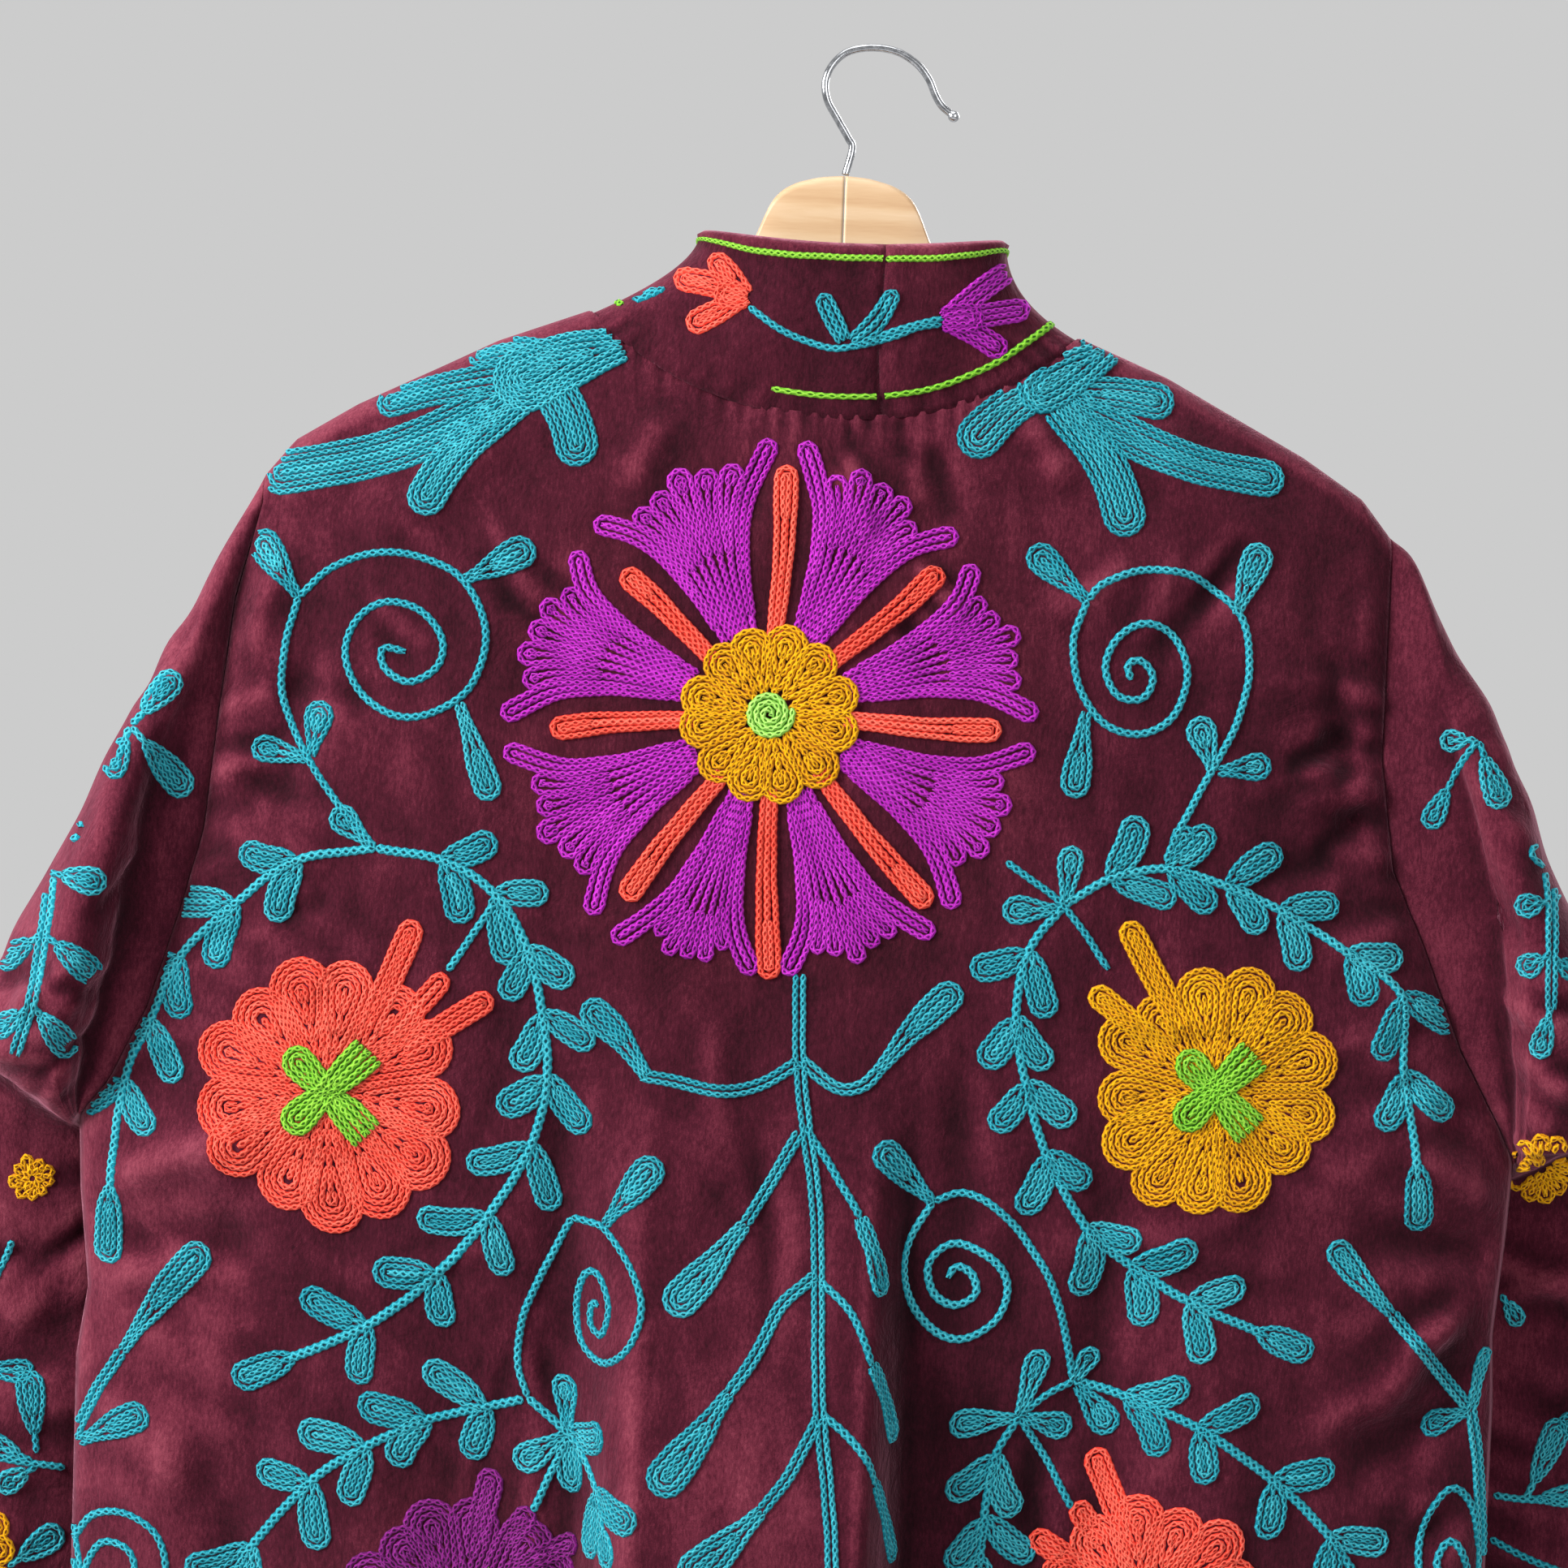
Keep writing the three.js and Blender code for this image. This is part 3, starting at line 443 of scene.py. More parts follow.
# ------------------------------------------------------------------ sleeves
def sleeve(side, around=112, rows=168):
    a = np.arange(around) / around * 2 * math.pi
    f = (1 - np.cos(a)) / 2
    s = np.sin(a)
    s[np.abs(s) < 1e-9] = 0
    z0 = mix(shoulder_z(SHOULDER_HALF * side), UNDERARM_Z, f)
    x0 = side_x(z0, side)
    y0 = np.where(s > 0, body_y(x0 * side, z0, 1) + SEAM / 2, np.where(s < 0, body_y(x0 * side, z0, -1) - SEAM / 2, 0.0))
    rings = [np.stack([x0 + 0.08, y0, z0], -1)]
    near = RIGHT_NEARER if side < 0 else 0
    for ox, oz, ix, iz, mid, back, front in sleeve_rings:
        dep = np.where(s >= 0, back, front)
        rings.append(np.stack([mix(ox, ix - near, f), mid + np.sign(s) * dep * np.abs(s) ** 0.9, mix(oz, iz, f)], -1))
    R = np.array(rings)
    mean = R.mean(1)
    d = np.linalg.norm(np.diff(R[:, 0], axis=0), axis=1) * 0.6 + np.linalg.norm(np.diff(mean, axis=0), axis=1) * 0.4
    t = np.concatenate([[0], np.cumsum(d)])
    q = np.linspace(0, 1, rows + 1)
    q = t[-1] * (0.72 * q + 0.28 * q ** 2)
    # cubic Hermite through the rings
    slope = np.zeros_like(R)
    sec = np.diff(R, axis=0) / d[:, None, None]
    slope[1:-1] = np.where(sec[:-1] * sec[1:] > 0, 2 * sec[:-1] * sec[1:] / (sec[:-1] + sec[1:] + 1e-12), 0)
    slope[0], slope[-1] = sec[0], sec[-1]
    k = np.clip(np.searchsorted(t, q, side="right") - 1, 0, len(t) - 2)
    u = ((q - t[k]) / d[k])[:, None, None]
    hh = d[k][:, None, None]
    P = (2 * u ** 3 - 3 * u ** 2 + 1) * R[k] + (u ** 3 - 2 * u ** 2 + u) * hh * slope[k] + (-2 * u ** 3 + 3 * u ** 2) * R[k + 1] + (u ** 3 - u ** 2) * hh * slope[k + 1]
    N = -grid_normals(P, True)
    # folds: z, x and the angle round the sleeve drive a few soft ridges
    X, Z = P[..., 0], P[..., 2]
    Y = P[..., 1]
    face = np.sign(Y - np.median(Y, axis=1, keepdims=True))
    off = undulate(X * 1.3 + Y, Z, 21 if side > 0 else 22) * 0.8
    folds = [(262, -232, 300, -330, 10, 2.2), (250, -270, 292, -392, 9, -2.6), (276, -300, 320, -420, 10, 2.6), (262, -330, 300, -440, 7, -2.2),
             (300, -372, 340, -404, 8, -1.8), (296, -410, 344, -424, 7, 2.4), (300, -500, 386, -486, 9, 2.6), (290, -540, 380, -570, 12, -2.8),
             (296, -600, 400, -592, 10, 2.6), (288, -640, 390, -668, 12, -2.4), (330, -600, 340, -720, 13, 2.2), (372, -560, 384, -700, 12, -2.0)]
    for i, c in enumerate(folds):
        j = 5 if side < 0 else 0
        off = off + 1.45 * bump(X, Z, c[0], c[1] - j, c[2], c[3] + j, c[4], c[5] * (1 if (i + (side < 0)) % 3 else 0.7), 0.08)
    rows_at = [(268, -290, 16, 60, -62, 22, 12, 44, 5.0, 1.5), (312, -410, 22, 34, -20, 30, 14, 40, 5.5, 1.8), (330, -540, 44, 60, -12, 28, 14, 58, 7.0, 1.9), (346, -660, 46, 50, -15, 30, 12, 60, 7.0, 1.7)]
    for c in scatter(rows_at, 41 if side > 0 else 42):
        off = off + bump(X, Z + 0.25 * Y, *c)
    fade = smooth(q / 22)[:, None] * smooth((t[-1] - q) / 10)[:, None]
    seam = 0.9 * np.exp(-(q / 4.0) ** 2)[:, None]
    pinch = smooth(np.linalg.norm(P - np.array([300.0, 0, -450.0]), axis=2) / 26)
    P = P + N * ((off * fade * pinch) - seam * np.minimum(1, np.abs(np.sin(a))[None, :] * 1.5))[..., None]
    P[..., 0] *= side
    return P
def sleeve_rim(P, N):
    n = P.shape[1]
    for j in range(n):
        N[0, j] = (0, 0, 1 if j == 0 else -1) if j % (n // 2) == 0 else (0, 1 if j < n // 2 else -1, 0)
P_sl, P_sr = sleeve(1), sleeve(-1)
# the sleeves get painted light, the left one more
pieces["sleeve_left"] = shell("sleeve_left_cloth", P_sl, -1, closed=True, fix=sleeve_rim, rub_and_painted_light=0.22)
pieces["sleeve_right"] = shell("sleeve_right_cloth", P_sr, 1, closed=True, fix=sleeve_rim, rub_and_painted_light=0.06)

# ------------------------------------------------------------------ cloth co-ordinates of the panels
# s runs across the cloth from the middle, over its folds; t runs down. Both in millimetres.
class Panel:
    def __init__(self, facing):
        self.facing = facing
        self.z = np.arange(-80, -930, -4.0)
        self.x = np.arange(-310, 310.5, 1.0)
        X, Z = np.meshgrid(self.x, self.z)
        flat = back_fold(X, Z) if facing > 0 else front_folds(np.abs(X), Z)
        dy = np.gradient(flat, 1.0, axis=1)
        L = np.cumsum(np.sqrt(1 + dy * dy), axis=1)
        mid = len(self.x) // 2
        self.s = L - L[:, mid:mid + 1]
    def _row(self, z):
        r = np.clip((self.z[0] - z) / 4.0, 0, len(self.z) - 1.001)
        k = r.astype(int)
        return k, r - k
    def s_of(self, x, z):
        x, z = np.atleast_1d(x).astype(float), np.atleast_1d(z).astype(float)
        k, f = self._row(z)
        c = np.clip(x - self.x[0], 0, len(self.x) - 1.001)
        j = c.astype(int); g = c - j
        row = lambda kk: self.s[kk, j] * (1 - g) + self.s[kk, j + 1] * g
        return row(k) * (1 - f) + row(k + 1) * f
    def x_of(self, s, z):
        k, f = self._row(z)
        out = np.zeros_like(s)
        for kk in np.unique(k):
            m = k == kk
            a = np.interp(s[m], self.s[kk], self.x)
            b = np.interp(s[m], self.s[kk + 1], self.x)
            out[m] = a * (1 - f[m]) + b * f[m]
        return out
    def from_px(self, px, py):
        px, py = np.atleast_1d(px), np.atleast_1d(py)
        y = np.full(len(px), 34.0)
        for _ in range(24):
            x, z = ray_xz(px, py, y)
            y = 0.5 * y + 0.5 * np.abs(body_y(x, z, 1, False))
        return np.stack([self.s_of(x, z), -z], -1)
    def place(self, st):
        """cloth co-ordinates to points and normals"""
        z = -st[:, 1]
        x = self.x_of(st[:, 0], z)
        e = 0.8
        y = body_y(x, z, self.facing)
        dx = (body_y(x + e, z, self.facing) - body_y(x - e, z, self.facing)) / (2 * e)
        dz = (body_y(x, z + e, self.facing) - body_y(x, z - e, self.facing)) / (2 * e)
        n = np.stack([-dx, np.ones_like(dx), -dz], -1) * self.facing
        n /= np.linalg.norm(n, axis=1, keepdims=True)
        ok = (np.abs(x) < side_x(z, x) - 0.6) & (z > HEM_Z + 3) & (z < shoulder_z(x) - 0.8)
        ok &= (np.abs(x) >= NECK_HALF) | (z < neck_z(x, self.facing) - 1.0)
        if self.facing < 0:
            ok &= np.abs(x) > FRONT_EDGE + 1.5
        return np.stack([x, y + self.facing * SEAM / 2, z], -1), n, ok

class Cast:
    """places a flat drawing on a piece by casting each point onto it"""
    def __init__(self, grids, origin, right, down, along, closed, perspective=False, px=1.0):
        self.o, self.r, self.d, self.a = (np.array(v, float) for v in (origin, right, down, along))
        self.persp, self.px = perspective, px
        verts, faces, base = [], [], 0
        for P, out in grids:
            m, n = P.shape[:2]
            ids = base + np.arange(m * n).reshape(m, n)
            a, b = ids[:-1], ids[1:]
            if closed:
                a2, b2 = np.roll(a, -1, 1), np.roll(b, -1, 1)
            else:
                a, a2, b, b2 = a[:, :-1], a[:, 1:], b[:, :-1], b[:, 1:]
            q = np.stack([a, b, b2, a2], -1).reshape(-1, 4)
            if out < 0:
                q = q[:, ::-1]
            verts.append(P.reshape(-1, 3)); faces.append(q); base += m * n
        self.tree = BVHTree.FromPolygons(np.concatenate(verts).tolist(), np.concatenate(faces).tolist())
    def place(self, st):
        n = len(st)
        P, N, ok = np.zeros((n, 3)), np.zeros((n, 3)), np.zeros(n, bool)
        cast = self.tree.ray_cast
        if self.persp:
            D = np.outer((st[:, 0] / self.px - 966) / F_PX, CAM_R) + np.outer((966 - st[:, 1] / self.px) / F_PX, CAM_U) + np.array([0, -1.0, 0])
            O = np.broadcast_to(CAM, (n, 3))
        else:
            O = self.o + np.outer(st[:, 0], self.r) + np.outer(st[:, 1], self.d)
            D = np.broadcast_to(self.a, (n, 3))
        for i in range(n):
            d = Vector(D[i])
            loc, nor, idx, dist = cast(Vector(O[i]), d)
            if loc is not None and abs(nor.dot(d.normalized())) > 0.2:
                P[i], ok[i] = loc, True
                N[i] = nor if nor.dot(d) < 0 else -nor
        return P, N, ok

# ------------------------------------------------------------------ stitching
LINK, PITCH, ROW = 3.5, 2.65, 3.0
def resample(p, step):
    p = np.asarray(p, float)
    d = np.linalg.norm(np.diff(p, axis=0), axis=1)
    t = np.concatenate([[0], np.cumsum(d)])
    if t[-1] < 1e-6:
        return p[:1]
    n = max(2, int(round(t[-1] / step)) + 1)
    q = np.linspace(0, t[-1], n)
    return np.stack([np.interp(q, t, p[:, i]) for i in range(p.shape[1])], -1)
def curve(points, step=1.5):
    """a smooth curve through given points"""
    p = np.asarray(points, float)
    if len(p) < 3:
        return resample(p, step)
    e = np.concatenate([[2 * p[0] - p[1]], p, [2 * p[-1] - p[-2]]])
    out = []
    for i in range(1, len(e) - 2):
        n = max(4, int(np.linalg.norm(e[i + 1] - e[i]) / step))
        u = (np.arange(n) / n)[:, None]
        out.append(0.5 * (2 * e[i] + (e[i + 1] - e[i - 1]) * u + (2 * e[i - 1] - 5 * e[i] + 4 * e[i + 1] - e[i + 2]) * u ** 2 + (3 * e[i] - e[i - 1] - 3 * e[i + 1] + e[i + 2]) * u ** 3))
    out.append(p[-1:])
    return resample(np.concatenate(out), step)
def sides(p):
    g = np.gradient(p, axis=0)
    g /= np.maximum(1e-9, np.linalg.norm(g, axis=1, keepdims=True))
    return g, np.stack([-g[:, 1], g[:, 0]], -1)

class Stitch:
    """rows of chain stitch, gathered by colour for one surface"""
    def __init__(self):
        self.rows = {}
    def row(self, colour, path, w=ROW, layer=0, h=1.25):
        if len(path) >= 2:
            self.rows.setdefault(colour, []).append((np.asarray(path, float), w, layer, h))
    def line(self, colour, pts, rows=1, w=3.9, gap=2.7, layer=0, h=1.3):
        c = curve(pts)
        g, n = sides(c)
        for k in range(rows):
            self.row(colour, c + n * (k - (rows - 1) / 2) * gap, w if rows == 1 else ROW, layer, h)
    def fill(self, colour, spine, hw, layer=0, pitch=PITCH, cap=True):
        """nested loops inside an outline that follows a spine with half widths hw"""
        sp = curve(spine, 1.0)
        n = len(sp)
        hw = np.interp(np.linspace(0, 1, n), np.linspace(0, 1, len(hw)), hw)
        L = np.linalg.norm(np.diff(sp, axis=0), axis=1).sum()
        rc = min(hw[-1], L * 0.45)
        keep = max(4, int(n * (1 - rc / L))) if cap else n
        sp, hw = sp[:keep], hw[:keep]
        g, nr = sides(sp)
        before = hw + 0.5 * pitch
        for k in range(30):
            off = hw - (k + 0.5) * pitch
            fits = off >= 0.3 * pitch
            # a single row runs down the middle wherever no further loop fits
            lone = ~fits & (before > 0.52 * pitch)
            i = 0
            while i < len(sp):
                if lone[i]:
                    j = i
                    while j + 1 < len(sp) and lone[j + 1]:
                        j += 1
                    a, b = max(0, i - 1), min(len(sp), j + 3)
                    if b - a >= 3:
                        gap = float(np.median(before[i:j + 1])) * 2 - pitch
                        path = sp[a:b]
                        if j == len(sp) - 1 and before[-1] > 0.8:
                            path = np.concatenate([path, [sp[-1] + g[-1] * (before[-1] - pitch * 0.75)]]) if before[-1] > pitch * 0.75 else path
                        self.row(colour, path, min(3.6, max(2.2, gap + 1.0)), layer)
                    i = j + 1
                else:
                    i += 1
            if not fits.any():
                break
            i0, i1 = int(np.argmax(fits)), len(sp) - 1 - int(np.argmax(fits[::-1]))
            o = np.maximum(off[i0:i1 + 1], 0.3 * pitch)[:, None]
            left, right = sp[i0:i1 + 1] + nr[i0:i1 + 1] * o, sp[i0:i1 + 1] - nr[i0:i1 + 1] * o
            r = hw[-1] - (k + 0.5) * pitch
            if len(left) >= 2:
                if i1 == len(sp) - 1 and r > 0.35:
                    ang = np.linspace(0, math.pi, max(5, int(r * 2.2)))[1:-1]
                    arc = sp[-1] + r * (np.outer(np.cos(ang), nr[-1]) + np.outer(np.sin(ang), g[-1]))
                    path = np.concatenate([left, arc, right[::-1]])
                else:
                    path = np.concatenate([left, right[::-1]])
                self.row(colour, path, ROW, layer)
            before = np.where(fits, off, -1)
    def leaf(self, colour, base, tip, wide, stalk=1.2, bend=0.0, layer=0, kind="club"):
        base, tip = np.asarray(base, float), np.asarray(tip, float)
        d = tip - base
        nrm = np.array([-d[1], d[0]])
        mid = (base + tip) / 2 + nrm * bend
        if kind == "club":
            wide = wide * 1.12
            prof = [stalk, stalk * 1.3, wide * 0.72, wide * 0.95, wide, wide]
        elif kind == "leaf":
            prof = [stalk * 1.3, wide * 0.82, wide * 0.98, wide, wide, wide * 0.97]
        else:
            prof = [wide * 0.8, wide * 0.9, wide, wide, wide, wide * 0.95]
        self.fill(colour, [base, mid, tip], prof, layer)
    def spiral(self, colour, centre, r0, r1, a0, turns, w=3.9, squash=(1, 1), layer=0):
        n = int(abs(turns) * 90)
        a = a0 + np.linspace(0, turns * 2 * math.pi, n)
        r = np.linspace(r0, r1, n)
        self.row(colour, np.asarray(centre) + np.stack([np.cos(a) * r * squash[0], np.sin(a) * r * squash[1]], -1), w, layer, 1.3)
    def disc(self, colour, centre, r, layer=0):
        n = int(r / PITCH * 26)
        t = np.linspace(0.03, 1, n)
        a = t * (r - 1.2) / PITCH * 2 * math.pi
        self.row(colour, np.asarray(centre) + np.stack([np.cos(a), np.sin(a)], -1) * (t * (r - 1.2))[:, None], ROW, layer)
    def garland(self, colour, pts, gap, length, wide, side0=1, tilt=0.72, start=0.04, stop=0.97, paired=False, seed=1, layer=0):
        r = np.random.default_rng(seed)
        c = curve(pts)
        g, n = sides(c)
        self.row(colour, c, 4.1, layer, 1.3)
        t = np.concatenate([[0], np.cumsum(np.linalg.norm(np.diff(c, axis=0), axis=1))])
        q, side = start * t[-1], side0
        while q < stop * t[-1]:
            i = int(np.searchsorted(t, q))
            for sd in ((1, -1) if paired else (side,)):
                ang = tilt * r.uniform(0.85, 1.2)
                d = g[i] * math.cos(ang) + n[i] * sd * math.sin(ang)
                ln = length * r.uniform(0.88, 1.1)
                b = c[i] + n[i] * sd * 0.8
                self.leaf(colour, b, b + d * ln, wide * r.uniform(0.9, 1.08), 1.5, -0.08 * sd, layer, "leaf")
            side = -side
            q += gap * r.uniform(0.85, 1.15)
    def boughs(self, colour, nodes, length=24.5, wide=6.5, tilt=0.72, tip=True, first=1, seed=1, layer=0):
        """a stem through nodes with a pair of leaves at each and one at the end"""
        r = np.random.default_rng(seed)
        c = curve(nodes)
        g, n = sides(c)
        t = np.concatenate([[0], np.cumsum(np.linalg.norm(np.diff(c, axis=0), axis=1))])
        last = len(nodes) - (1 if tip else 0)
        end = len(c)
        if tip:
            q = np.asarray(nodes[-2], float)
            end = int(np.argmin(np.linalg.norm(c - (q * 0.3 + np.asarray(nodes[-1], float) * 0.7), axis=1)))
            self.leaf(colour, c[max(0, end - 3)], nodes[-1] + (np.asarray(nodes[-1], float) - q) * 0.15, wide * 0.95, 1.7, 0.0, layer, "leaf")
        self.row(colour, c[:max(3, end)], 4.6, layer, 1.3)
        for k in range(first, last):
            i = int(np.argmin(np.linalg.norm(c - np.asarray(nodes[k], float), axis=1)))
            for sd in (1, -1):
                a = tilt * r.uniform(0.75, 1.3)
                d = g[i] * math.cos(a) + n[i] * sd * math.sin(a)
                ln = length * r.uniform(0.90, 1.18)
                b = c[i] + n[i] * sd * 0.6 - g[i] * 1.0 * (sd > 0)
                self.leaf(colour, b, b + d * ln, wide * r.uniform(0.9, 1.06), 1.7, r.uniform(-0.12, 0.02) * sd, layer, "leaf")
    def daisy(self, colour, centre, radius, petals, inner=0.1, a0=0.0, layer=0, skip=(), wob=0.07, seed=3):
        r = np.random.default_rng(seed)
        for k in range(petals):
            if k in skip:
                continue
            a = a0 + (k + r.uniform(-0.13, 0.13)) * 2 * math.pi / petals
            R = radius * (1 + r.uniform(-wob, wob))
            u = np.array([math.cos(a), math.sin(a)])
            w = R * math.sin(math.pi / petals) * r.uniform(0.95, 1.10)
            self.fill(colour, [np.asarray(centre) + u * R * inner, np.asarray(centre) + u * R * 0.6, np.asarray(centre) + u * R],
                      [1.3, w * 0.42, w * 0.66, w * 0.86, w * 0.98, w * 0.98], layer)

def stitch_mesh(name, surface, rows, material):
    """one raised ribbon for each row, all in one mesh"""
    cen, wid, lay, hgt, uu, shade, ends, rowid = [], [], [], [], [], [], [], []
    rng = np.random.default_rng(sum(map(ord, name)))
    for k, (path, w, layer, h) in enumerate(rows):
        p = resample(path, LINK / 2)
        n = len(p)
        if n < 3:
            continue
        i = np.arange(n)
        p = p + np.outer(np.sin(i * 0.55 + rng.uniform(0, 6)) * 0.10, [1, 0]) + np.outer(np.cos(i * 0.47 + rng.uniform(0, 6)) * 0.10, [0, 1])
        fat = np.where(i % 2 == 0, 0.80, 1.0) * rng.uniform(0.97, 1.05)
        fat[[0, -1]] *= 0.6
        cen.append(p); wid.append(w * fat); lay.append(np.full(n, layer * 0.55))
        hh = h * rng.uniform(0.92, 1.06) * np.where(i % 2 == 0, 0.88, 1.0)
        hh[[0, -1]] *= 0.55
        hgt.append(hh); uu.append(i / 2 + rng.integers(0, 50)); shade.append(np.full(n, rng.uniform(0, 1)) + rng.uniform(-0.08, 0.08, n))
        rowid.append(np.full(n, k))
    if not cen:
        return None
    ce, wi, la, hg, uv_u, sh, ri = (np.concatenate(v) for v in (cen, wid, lay, hgt, uu, shade, rowid))
    side = np.zeros_like(ce)
    at = 0
    for p in cen:
        side[at:at + len(p)] = sides(p)[1]
        at += len(p)
    across = [(-0.5, 0.0), (-0.27, 0.86), (0.27, 0.86), (0.5, 0.0)]
    M = len(ce)
    st = np.concatenate([ce + side * (wi * a)[:, None] for a, _ in across])
    P, N, ok = surface.place(st)
    lift = np.concatenate([(hg * b - (0.35 if b == 0 else 0)) + la for _, b in across])
    V = P + N * lift[:, None]
    good = ok.reshape(4, M).all(0)
    V = V.reshape(4, M, 3)
    # no quad may jump over a fold's edge
    idx = np.arange(M - 1)
    joined = (ri[1:] == ri[:-1]) & good[1:] & good[:-1]
    step = np.linalg.norm(V[1, 1:] - V[1, :-1], axis=1)
    joined &= step < 6.5
    width = np.linalg.norm(V[3] - V[0], axis=1)
    joined &= (width[1:] < 8) & (width[:-1] < 8)
    idx = idx[joined]
    quads = []
    for a in range(3):
        quads.append(np.stack([a * M + idx, a * M + idx + 1, (a + 1) * M + idx + 1, (a + 1) * M + idx], -1))
    F = np.concatenate(quads)
    uv = np.stack([np.tile(uv_u, 4), np.repeat([0.0, 0.25, 0.75, 1.0], M)], -1)
    shd = np.tile(sh, 4)
    V = V.reshape(-1, 3)
    # faces turn outwards
    n = np.cross(V[F[:, 1]] - V[F[:, 0]], V[F[:, 3]] - V[F[:, 0]])
    turn = (n * N[F[:, 0]]).sum(1) < 0
    F[turn] = F[turn][:, ::-1]
    used = np.unique(F)
    remap = np.full(len(V), -1); remap[used] = np.arange(len(used))
    ob = new_mesh(name, world(V[used]), remap[F], uv[used], shd[used])
    ob.data.materials.append(material)
    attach(ob, "root")
    return ob

# ------------------------------------------------------------------ materials
def nodes_of(name):
    m = bpy.data.materials.new(name)
    m.use_nodes = True
    nt = m.node_tree
    nt.nodes.clear()
    out = nt.nodes.new("ShaderNodeOutputMaterial")
    bs = nt.nodes.new("ShaderNodeBsdfPrincipled")
    nt.links.new(bs.outputs[0], out.inputs[0])
    return m, nt, bs
def lin(r, g, b):
    f = lambda c: (c / 255 / 12.92) if c / 255 <= 0.04045 else ((c / 255 + 0.055) / 1.055) ** 2.4
    return (f(r), f(g), f(b), 1.0)
class Net:
    def __init__(self, nt):
        self.nt = nt
    def n(self, kind, **kw):
        node = self.nt.nodes.new("ShaderNode" + kind)
        for k, v in kw.items():
            setattr(node, k, v)
        return node
    def link(self, a, b):
        self.nt.links.new(a, b)
    def math(self, op, a, b=None, c=None, clamp=False):
        node = self.n("Math", operation=op, use_clamp=clamp)
        for i, v in enumerate((a, b, c)):
            if v is None:
                continue
            if isinstance(v, (int, float)):
                node.inputs[i].default_value = v
            else:
                self.link(v, node.inputs[i])
        return node.outputs[0]
    def noise(self, vec, scale, detail=3.0, rough=0.55, dist=0.0):
        node = self.n("TexNoise")
        node.inputs["Scale"].default_value = scale
        node.inputs["Detail"].default_value = detail
        node.inputs["Roughness"].default_value = rough
        node.inputs["Distortion"].default_value = dist
        self.link(vec, node.inputs["Vector"])
        return node.outputs["Fac"]
    def ramp(self, fac, stops):
        node = self.n("ValToRGB")
        e = node.color_ramp.elements
        while len(e) < len(stops):
            e.new(0.5)
        for el, (p, c) in zip(e, stops):
            el.position, el.color = p, c
        self.link(fac, node.inputs[0])
        return node.outputs[0]
    def mixc(self, fac, a, b, mode="MIX"):
        node = self.n("Mix", data_type="RGBA", blend_type=mode)
        for sock, v in ((node.inputs[0], fac), (node.inputs[6], a), (node.inputs[7], b)):
            if isinstance(v, (int, float)):
                sock.default_value = v
            elif isinstance(v, tuple):
                sock.default_value = v
            else:
                self.link(v, sock)
        return node.outputs[2]
    def remap(self, v, a, b, c, d):
        node = self.n("MapRange")
        for i, x in enumerate((a, b, c, d), 1):
            node.inputs[i].default_value = x
        self.link(v, node.inputs[0])
        return node.outputs[0]
    def bump(self, h, strength, dist, prev=None):
        node = self.n("Bump")
        node.inputs["Strength"].default_value = strength
        node.inputs["Distance"].default_value = dist
        self.link(h, node.inputs["Height"])
        if prev is not None:
            self.link(prev, node.inputs["Normal"])
        return node.outputs[0]

def velvet_material():
    m, nt, bs = nodes_of("velvet")
    w = Net(nt)
    co = w.n("TexCoord").outputs["Object"]
    stretch = w.n("Mapping")
    stretch.inputs["Scale"].default_value = (1.0, 1.0, 0.35)
    w.link(co, stretch.inputs[0])
    along = stretch.outputs[0]
    broad = w.noise(co, 7.0, 4, 0.6, 0.6)
    cloud = w.noise(co, 26.0, 5, 0.62, 0.9)
    # streaks of rubbed pile, a change in the velvet's own tone
    rub_and_painted_light = w.noise(along, 75.0, 4, 0.6, 0.4)
    pile = w.noise(along, 900.0, 3, 0.7)
    fine = w.noise(co, 2600.0, 2, 0.7)
    v = w.math("MULTIPLY_ADD", broad, 0.36, w.math("MULTIPLY_ADD", cloud, 0.36, w.math("MULTIPLY", rub_and_painted_light, 0.28)))
    v = w.math("ADD", v, w.math("MULTIPLY", w.math("SUBTRACT", pile, 0.5), 0.46))
    v = w.math("ADD", v, w.math("MULTIPLY", w.math("SUBTRACT", fine, 0.5), 0.34))
    # painted light and shade from the cloth's folds and from the way each part faces lightens or darkens the velvet
    painted_light = w.n("Attribute", attribute_name="painted_light").outputs["Fac"]
    v = w.math("ADD", v, w.math("MULTIPLY", w.math("SUBTRACT", painted_light, 0.5), 0.50))
    col = w.ramp(v, [(0.20, lin(22, 4, 9)), (0.38, lin(42, 9, 19)), (0.54, lin(64, 17, 31)), (0.70, lin(92, 33, 48)), (0.90, lin(124, 56, 70))])
    w.link(col, bs.inputs["Base Color"])
    bs.inputs["Roughness"].default_value = 0.88
    bs.inputs["Specular IOR Level"].default_value = 0.06
    bs.inputs["Sheen Weight"].default_value = 0.42
    bs.inputs["Sheen Roughness"].default_value = 0.42
    bs.inputs["Sheen Tint"].default_value = lin(225, 150, 172)
    h = w.math("ADD", w.math("MULTIPLY", pile, 0.6), w.math("MULTIPLY", fine, 0.4))
    b1 = w.bump(h, 0.5, 0.0005)
    b2 = w.bump(rub_and_painted_light, 0.45, 0.0026, b1)
    b3 = w.bump(w.noise(co, 40.0, 5, 0.65, 1.2), 0.40, 0.0040, b2)
    w.link(b3, bs.inputs["Normal"])
    return m

